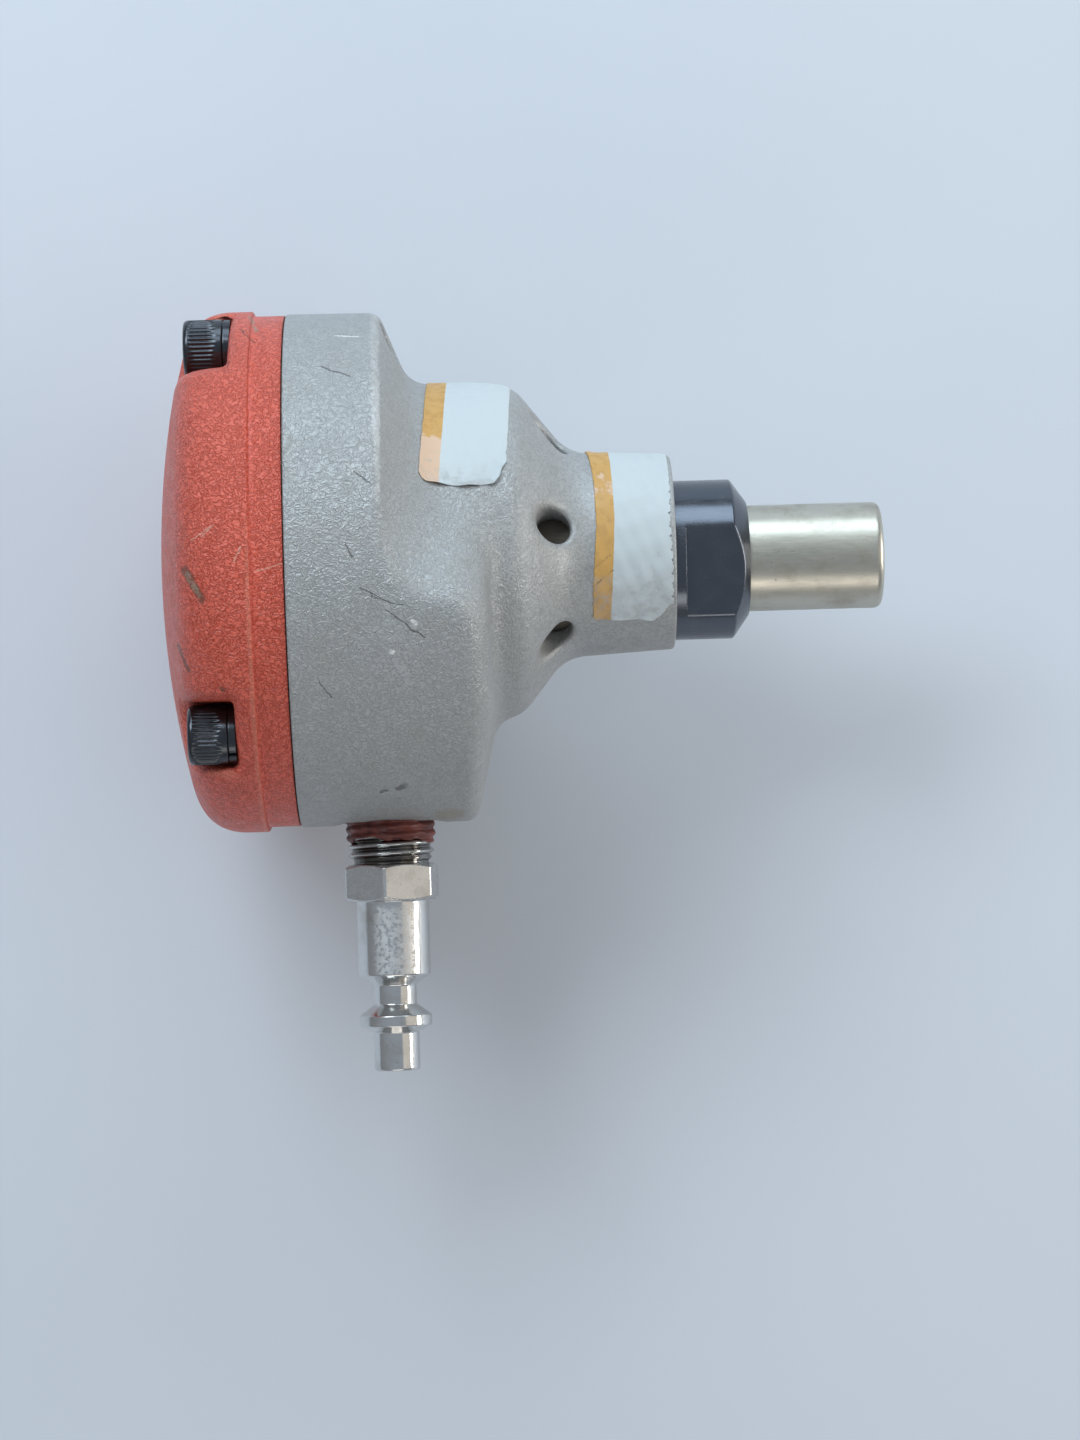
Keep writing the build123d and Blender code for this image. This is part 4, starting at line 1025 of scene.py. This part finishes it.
def makeHousing():
    # Rows run from the neck's end over the skin, round the parting face and back through the bores, so the
    # grid closes; windows in it make room for the holes, and patches fill them
    h, exhaust = housing, housing["exhaust"]
    phi = np.radians(h["firstColumn"]) + angles(h["columns"])
    rim, skin, line = castRim(phi), castSkin(phi), boreLine()
    back = turned(np.array(h["parting"]) + np.array(h["partingEdge"]), phi, driveAxis)
    grid = np.concatenate([rim, skin, back, turned(line, phi, driveAxis)])
    rows = (len(rim), len(rim) + len(skin))
    nearest = np.argmin(np.hypot(line[:, 0] - exhaust["x"], line[:, 1] - h["chamber"]))
    middle = len(grid) - len(line) + int(nearest)
    windows, patches = [], []
    for turn in evenTurns(exhaust):
        hole = holeFrame((exhaust["x"], h["axisShift"], 0), (0, np.cos(turn), np.sin(turn)), (1, 0, 0))
        window = windowFor(grid, rows, hole, exhaust)
        count = window[1] - window[0]
        far = (middle - count // 2, middle - count // 2 + count, *window[2:])
        patches.append(holePatch(borderOf(grid, window), hole, exhaust, borderOf(grid, far, flip=True)))
        windows += [window, far]
    tapped = holeFrame((0, *screwPlaces()[0]), (1, 0, 0), (0, 1, 0))
    inlet = holeFrame((plugX, 0, 0), (0, -1, 0), (1, 0, 0))
    for hole, spec in ((tapped, h["tapped"]), (inlet, h["inlet"])):
        windows.append(windowFor(grid, rows, hole, spec))
        patches.append(holePatch(borderOf(grid, windows[-1]), hole, spec))
    shell = gridShell(grid, wrapRows=True, windows=windows)
    makePiece("housing_casting", [shell, *patches], "housing_paint", housingMarks, "housing")


# Stickers, left blank
stickers = {
    # curves list (degrees from +Y towards +Z, x or share), and lower lists (share across, degrees)
    "barrel_sticker": {
        "upper": -24.0,
        "lower": [
            (0, 67.5), (0.03, 69.3), (0.08, 70.4), (0.5, 71.2),
            (0.86, 70.0), (0.93, 67.0), (0.965, 63.5), (1, 61.0),
        ],
        "left": [(-24, -73.4), (10, -74.0), (44, -74.7), (65, -75.6), (71, -75.7)],
        "right": [(-24, -60.2), (10, -60.3), (26, -60.6), (47, -61.1), (61, -61.6), (71, -61.9)],
        "band": [(-24, -70.5), (14, -70.8), (46, -71.6), (68, -72.5)],
        "fade": [(40, 0.0), (50, 0.2), (56, 1.0), (71, 1.0)],
        "darkening": [(-24, 0.1), (50, 0.1), (66, 0.35), (71, 0.6)], "crease": [(-24, 0.0), (71, 0.0)],
        "ragged": 0.12, "curl": 0.55, "wrinkle": 0.02,
    },
    "neck_sticker": {
        "upper": -22.0,
        "lower": [
            (0, 131.0), (0.05, 132.8), (0.3, 134.0), (0.75, 135.5),
            (0.82, 134.0), (0.9, 129.0), (1, 124.0),
        ],
        "left": [(-22, -48.6), (16, -48.1), (50, -47.5), (78, -47.4), (112, -48.2), (135, -48.2)],
        "right": [(-22, -35.1), (60, -35.1), (75, -35.35), (90, -35.2), (100, -35.1), (135, -35.1)],
        "band": [(-22, -44.7), (17, -44.6), (74, -44.4), (129, -45.3)],
        "fade": [(-22, 0.0), (38, 0.0), (46, 0.35), (60, 0.35), (66, 0.05), (116, 0.05), (135, 0.15)],
        "darkening": [(-22, 0.05), (60, 0.15), (100, 0.3), (118, 0.5), (135, 0.45)],
        "crease": [(-22, 0.0), (86, 0.0), (95, 1.0), (110, 1.0), (118, 0.4), (135, 0.5)],
        "ragged": 0.22, "curl": 0.25, "wrinkle": 0.07,
    },
}
stickerFilm = {
    "rows": 190, "columns": 56, "gap": 0.03, "thickness": 0.13,
    "teeth": [(1.0, 0.9, 0), (0.6, 2.3, 1), (0.4, 5.1, 2)],  # waves of a ragged edge
    "leftTeeth": 0.03, "raggedRange": (30, 70), "curlReach": 0.7, "underLift": 0.9,
    "creaseWidth": 0.16,
}


def castOut(x, phi):
    # Distance to the skin at x along a ray at angle phi from the neck's own axis
    def height(out):
        # Height over the casting at a distance out
        return housingField(x, housing["axisShift"] + out * np.cos(phi), out * np.sin(phi))

    return bisect(np.broadcast(x, phi).shape, *housing["search"], height)


def makeSticker(name):
    # Thin film over the casting: each point lies at its own x and angle on the skin, between two edge curves;
    # the outside stands off by the thickness, lifts at the lower edge, and closes on the inside all round
    s, film = stickers[name], stickerFilm

    def along(key, where):
        # Value of one of the sticker's curves
        return np.interp(where, *np.array(s[key]).T)

    across = np.concatenate([[0, 0.006], np.linspace(0.02, 0.98, film["columns"]), [0.994, 1]])[None]
    down = np.concatenate([[0, 0.001], np.linspace(0.006, 0.994, film["rows"]), [0.999, 1]])[:, None]
    upper, lower = s["upper"], along("lower", across)
    turn = upper + (lower - upper) * down
    teeth = ripple(turn, film["teeth"])
    left, right = along("left", turn) + film["leftTeeth"] * teeth, along("right", turn)
    right = right - s["ragged"] * np.maximum(teeth, -0.3) * smooth(turn, *film["raggedRange"])
    x = left + (right - left) * across
    phi = np.radians(turn)
    skin = castOut(x, phi)
    toEdge = np.radians(lower - turn) * skin
    waves = np.sin(1.1 * x + 0.16 * turn) * np.sin(0.23 * turn - 0.6 * x) + 0.5 * np.sin(2.3 * x - 0.3 * turn)
    curl = s["curl"] * np.exp(-toEdge / film["curlReach"]) * (0.5 + 0.5 * np.sin(1.3 * x + 2.0))
    lift = curl + s["wrinkle"] * (1 + waves)
    stands = (0, film["thickness"] + lift, film["underLift"] * lift)
    inner, outer, low = (swing(x, skin + film["gap"] + stand, phi, castAxis) for stand in stands)
    rim = (slice(None), [0, -1])
    outer[rim], low[rim] = inner[rim], inner[rim]
    shell = gridShell(np.concatenate([outer, low[::-1]]), wrapRows=True, wrapColumns=False)

    def marks(points):
        # Band, fading, greying and creases by angle and by the distance from the band's edge
        x, y, z = points.T
        turn = np.degrees(np.arctan2(z, y - housing["axisShift"]))
        lines = np.abs(np.sin(0.9 * x + 0.33 * turn)) < film["creaseWidth"]
        inside = along("band", turn) - x
        return {
            "band": smooth(inside, -0.5, 0.5), "fade": along("fade", turn),
            "darkening": along("darkening", turn),
            "crease": along("crease", turn) * lines * smooth(inside, -0.6, 0.0),
        }

    makePiece(name, [shell], "sticker_film", marks)


# Cap
cap = {
    "face": -97.2,
    "lip": 0.32,  # outer edge of the joint face, over the gasket
    "lipRound": 0.12, "band": 42.0, "step": -102.0, "rim": 42.8, "crown": -118.1, "crownFlat": 5.0,
    "crownRadius": 150.0, "crownEdge": -111.95, "edgeRound": 7.9, "pocketFloor": -105.5,
    "pocketHalf": 5.05, "pocketDraft": 1.0,
    "pocketShift": 2.0,  # from a screw's axis to the middle of its pocket
    "pocketReach": 26.0, "pocketEdge": 1.2, "margin": 3.2, "cavity": 24.0, "ceiling": -112.1,
    "blends": {"edge": 6.3, "step": 0.45, "foot": 0.25, "floor": 1.2, "pocket": 2.2},
    "columns": 330,
    "firstColumn": 80.0,  # degrees, clear of every pocket
    # rimShade: share of the step's pale wear left off as painted shade, and where the upper side starts and
    # is whole
    "marks": {"reach": 1.3, "rimReach": 1.2, "rimShade": (0.75, -10, 14)},
}


def pocketHeight(x, y, z, place):
    # Height over one pocket: a drafted U, open to the side its screw is on, down to its floor
    half = cap["pocketHalf"] + (cap["pocketFloor"] - x) * np.tan(np.radians(cap["pocketDraft"]))
    along = (z - place[1]) * np.sign(place[1])
    wall = np.hypot(y - place[0], np.minimum(along, 0)) - half
    return softMax(wall, x - cap["pocketFloor"], cap["blends"]["floor"])


def capField(x, y, z):
    # Height over the cap: rim and domed crown with a soft edge, a slightly smaller band, less the pockets
    k, r = cap["blends"], np.hypot(y, z)
    centre = cap["crown"] + np.sqrt(cap["crownRadius"] ** 2 - cap["crownFlat"] ** 2)
    crown = np.maximum(np.hypot(x - centre, r) - cap["crownRadius"], cap["crown"] - x)
    rim = softMax(softMax(r - cap["rim"], crown, k["edge"]), x - cap["step"], k["step"])
    body = softMin(rim, softMax(r - cap["band"], crown, k["edge"]), k["foot"])
    for place in screwPlaces():
        body = softMax(body, -pocketHeight(x, y, z, place), k["pocket"])
    return body


def capMarks(points):
    # Edges are worn, and hollows have less grain; on the upper side the rim's step keeps little of its pale
    # wear, as painted shade
    m, (x, y, _) = cap["marks"], points.T
    bend = bendOf(capField, points, m["reach"])
    kept, *upper = m["rimShade"]
    # Painted shade: the pale wear at the rim's step is mostly left off on the upper side
    unshaded = 1 - kept * smooth(y, *upper) * (np.abs(x - cap["step"]) < m["rimReach"])
    return {
        "grain": 1 - edgeWear["hollowLoss"] * smooth(-bend, *edgeWear["hollow"]),
        "wear": unshaded * smooth(bend, *edgeWear["edge"]),
    }


def makeCap():
    # Turned skin from the joint face over the rim to the crown, with windows for the pockets; rings lead from
    # each border over the rounded edge, down the wall and over the floor, and all points settle on the field
    c, face, band = cap, cap["face"], cap["band"]
    outline = roundedLine([
        (face, band, 0), (c["step"], band, 0.2), (c["step"], c["rim"], 0.35),
        (c["crownEdge"], c["rim"], c["edgeRound"]), (c["crown"] + 0.06, 6.0, 0),
        (c["crown"], 0.0, 0),
    ], closed=False, spacing=0.75, steps=14)
    outline = outline[np.concatenate([[True], np.linalg.norm(np.diff(outline, axis=0), axis=1) > 0.02])]
    stepped = np.concatenate([[0], np.cumsum(np.linalg.norm(np.diff(outline, axis=0), axis=1))])
    reach = stepped[-1] - stepped  # distance along the skin from the pole
    fromPole, poleX, poleR = reach[::-1], outline[::-1, 0], outline[::-1, 1]
    phi = np.radians(c["firstColumn"]) + angles(c["columns"])
    skin = settle(turned(outline, phi, driveAxis), capField)
    skin[..., 0] = np.maximum(skin[..., 0], c["crown"])
    skin[-1] = (c["crown"], 0, 0)
    charted = np.stack([reach[:, None] * np.cos(phi), reach[:, None] * np.sin(phi)], -1)

    def onSkin(chart):
        # Chart points lie at their distance along the skin from the pole, in their own direction
        far = np.linalg.norm(chart, axis=-1)
        x, r = np.interp(far, fromPole, poleX), np.interp(far, fromPole, poleR)
        return np.concatenate([x[..., None], chart * (r / far)[..., None]], -1)

    def pocketPatch(place):
        # Window round one pocket and the rings that fill it, about a middle that lies inside the pocket
        centre = place + np.array([0, c["pocketShift"] * np.sign(place[1])])
        middle = centre * np.interp(np.linalg.norm(centre), poleR, fromPole) / np.linalg.norm(centre)

        def rimOf(psi, offset):
            # Chart points where the pocket's height over the skin is the offset, in the directions psi
            ray = np.stack([np.cos(psi), np.sin(psi)], -1)

            def height(far):
                # Height over the pocket, less the offset, at a distance far along each direction
                there = onSkin(middle + far[..., None] * ray)
                return pocketHeight(*np.moveaxis(there, -1, 0), place) - offset

            return middle + bisect(psi.shape, 0.0, c["pocketReach"], height)[..., None] * ray

        loop = rimOf(np.linspace(0, fullTurn, 181), c["margin"])
        columns = columnOf(loop[:, 0], loop[:, 1], c)
        far = np.linalg.norm(loop, axis=1)
        top, bottom = int((reach > far.max()).sum()) - 1, int((reach >= far.min()).sum())
        window = (top, bottom, int(columns.min()), int(columns.max()) + 1)
        chart = borderOf(charted, window)
        psi = np.arctan2(*(chart - middle).T[::-1])
        edge, inner = rimOf(psi, c["pocketEdge"]), rimOf(psi, 0.0)
        share = np.linspace(0, 1, 9)[1:, None, None]
        leading = onSkin(chart * (1 - share) + edge * share)
        rounding = onSkin(edge * (1 - share[:6]) + inner * share[:6])
        depth, brink = np.linspace(0, 1, 12)[1:, None], onSkin(inner)
        down = brink[:, 0] * (1 - depth) + c["pocketFloor"] * depth
        wall = np.stack([down, brink[:, 1] + 0 * depth, brink[:, 2] + 0 * depth], -1)
        floor = wall[-1] * (1 - share ** 1.4) + np.array([c["pocketFloor"], *centre]) * share ** 1.4
        rings = settle(np.concatenate([leading, rounding, wall, floor]), capField)
        rings[-1] = rings[-1].mean(0)
        return window, gridShell(np.concatenate([borderOf(skin, window)[None], rings]))

    windows, patches = zip(*(pocketPatch(place) for place in screwPlaces()))
    lipX = face + c["lip"]
    inside = turned(roundedLine([
        (c["ceiling"], 0, 0), (c["ceiling"], c["cavity"], 0.5), (face, c["cavity"], 0.3),
        (face, band - 0.42, 0), (lipX, band - 0.4, 0), (lipX, band - c["lipRound"], 0),
    ], closed=False, spacing=3.0), phi, driveAxis)
    skin[0] = swing(np.array([lipX - c["lipRound"]]), np.array([band]), phi, driveAxis)
    windows = [(top + len(inside), bottom + len(inside), *sides) for top, bottom, *sides in windows]
    shell = gridShell(np.concatenate([inside, skin]), windows=windows)
    makePiece("cap_casting", [shell, *patches], "cap_paint", capMarks, "cap")


makeHousing()
for sticker in stickers:
    makeSticker(sticker)
makeCap()
makeNose()
makeRetainer()
makePlug()
makeSealant()
makeScrews()


# Floor, light and camera, in metres
stage = {
    "floorHalf": 2.0, "floorGap": 0.00002, "floor": colour(0.66, 0.69, 0.74),
    "floorShade": colour(0.58, 0.61, 0.66), "floorShare": 0.12,
    "floorNoise": (60.0, 3.0),  # size in millimetres, and detail
    "floorRoughness": 0.6, "sky": colour(0.78, 0.88, 1.0), "horizon": colour(0.55, 0.58, 0.62),
    "skyStrength": 0.42,
    "lamps": [
        # place, width, height, watts, colour
        ((-0.42, 0.5, 0.7), 0.55, 0.4, 4.35, (0.79, 0.91, 1.0)),
        ((0.0, 0.82, 0.38), 0.9, 0.44, 4.25, (0.74, 0.89, 1.0)),
        ((0.7, 0.02, 0.14), 0.45, 0.16, 1.9, (1.0, 0.97, 0.92)),
        ((0.5, -0.02, 0.5), 0.5, 0.5, 0.32, (1.0, 0.82, 0.58)),
        ((-0.05, -0.75, 0.4), 0.6, 0.25, 0.9, (1.0, 0.94, 0.86)),
    ],
    "lit": (-0.06, -0.015, 0.0),
}


def makeFloor():
    # Pale floor just under the lowest point
    half, low = stage["floorHalf"], cadBox[0][2] - stage["floorGap"]
    mesh = bpy.data.meshes.new("floor")
    corners = [(-half, -half, low), (half, -half, low), (half, half, low), (-half, half, low)]
    mesh.from_pydata(corners, [], [(0, 1, 2, 3)])
    n = Finish("pale_floor")
    cloud = n.spread(n.noise(*stage["floorNoise"]), *midRange, 0.0, stage["floorShare"])
    tone = n.mix(cloud, stage["floor"], stage["floorShade"])
    mesh.materials.append(n.shade(Base_Color=tone, Roughness=stage["floorRoughness"]))
    floor = bpy.data.objects.new("floor", mesh)
    bpy.context.scene.collection.objects.link(floor)


def makeSky():
    # Soft sky: the horizon's colour goes over to the sky's as the direction rises
    world = bpy.data.worlds.new("soft_sky")
    bpy.context.scene.world = world
    world.use_nodes = True
    tree = world.node_tree
    back = tree.nodes["Background"]
    where, split, fade = (tree.nodes.new(f"ShaderNode{kind}") for kind in ("TexCoord", "SeparateXYZ", "Mix"))
    fade.data_type = "RGBA"
    fade.inputs[6].default_value = stage["horizon"]
    fade.inputs[7].default_value = stage["sky"]
    tree.links.new(where.outputs["Generated"], split.inputs[0])
    tree.links.new(split.outputs["Z"], fade.inputs[0])
    tree.links.new(fade.outputs[2], back.inputs["Color"])
    back.inputs["Strength"].default_value = stage["skyStrength"]


def makeLamps():
    # Soft boxes that all face one point on the tool
    for index, (place, width, height, watts, tint) in enumerate(stage["lamps"]):
        lamp = bpy.data.lights.new(f"soft_box_{index}", "AREA")
        lamp.shape = "RECTANGLE"
        lamp.size, lamp.size_y = width, height
        lamp.energy, lamp.color = watts, tint
        box = bpy.data.objects.new(lamp.name, lamp)
        aim = Vector(stage["lit"]) - Vector(place)
        box.matrix_world = Matrix.Translation(place) @ aim.to_track_quat("-Z", "Y").to_matrix().to_4x4()
        bpy.context.scene.collection.objects.link(box)


shot = {
    "place": (-0.07167, -0.04648, 0.62748), "target": (-0.05703, -0.02571, 0.0),
    "roll": 1.764,  # degrees, the drive axis rises to the right
    "lens": 95.1, "sensor": 36.0, "clipStart": 0.01,
}


def makeCamera():
    # Camera that looks down on the tool, with the picture's up direction turned by the roll
    camera = bpy.data.cameras.new("photo_camera")
    camera.lens, camera.sensor_width, camera.clip_start = shot["lens"], shot["sensor"], shot["clipStart"]
    ahead = (Vector(shot["target"]) - Vector(shot["place"])).normalized()
    roll = np.radians(shot["roll"])
    right = ahead.cross(Vector((np.sin(roll), np.cos(roll), 0))).normalized()
    up = right.cross(ahead)
    matrix = Matrix((right, up, -ahead)).transposed().to_4x4()
    matrix.translation = shot["place"]
    holder = bpy.data.objects.new("photo_camera", camera)
    holder.matrix_world = matrix
    bpy.context.scene.collection.objects.link(holder)
    bpy.context.scene.camera = holder


makeFloor()
makeSky()
makeLamps()
makeCamera()
bpy.context.scene.view_settings.view_transform = "Standard"
print("stage, light and camera set")
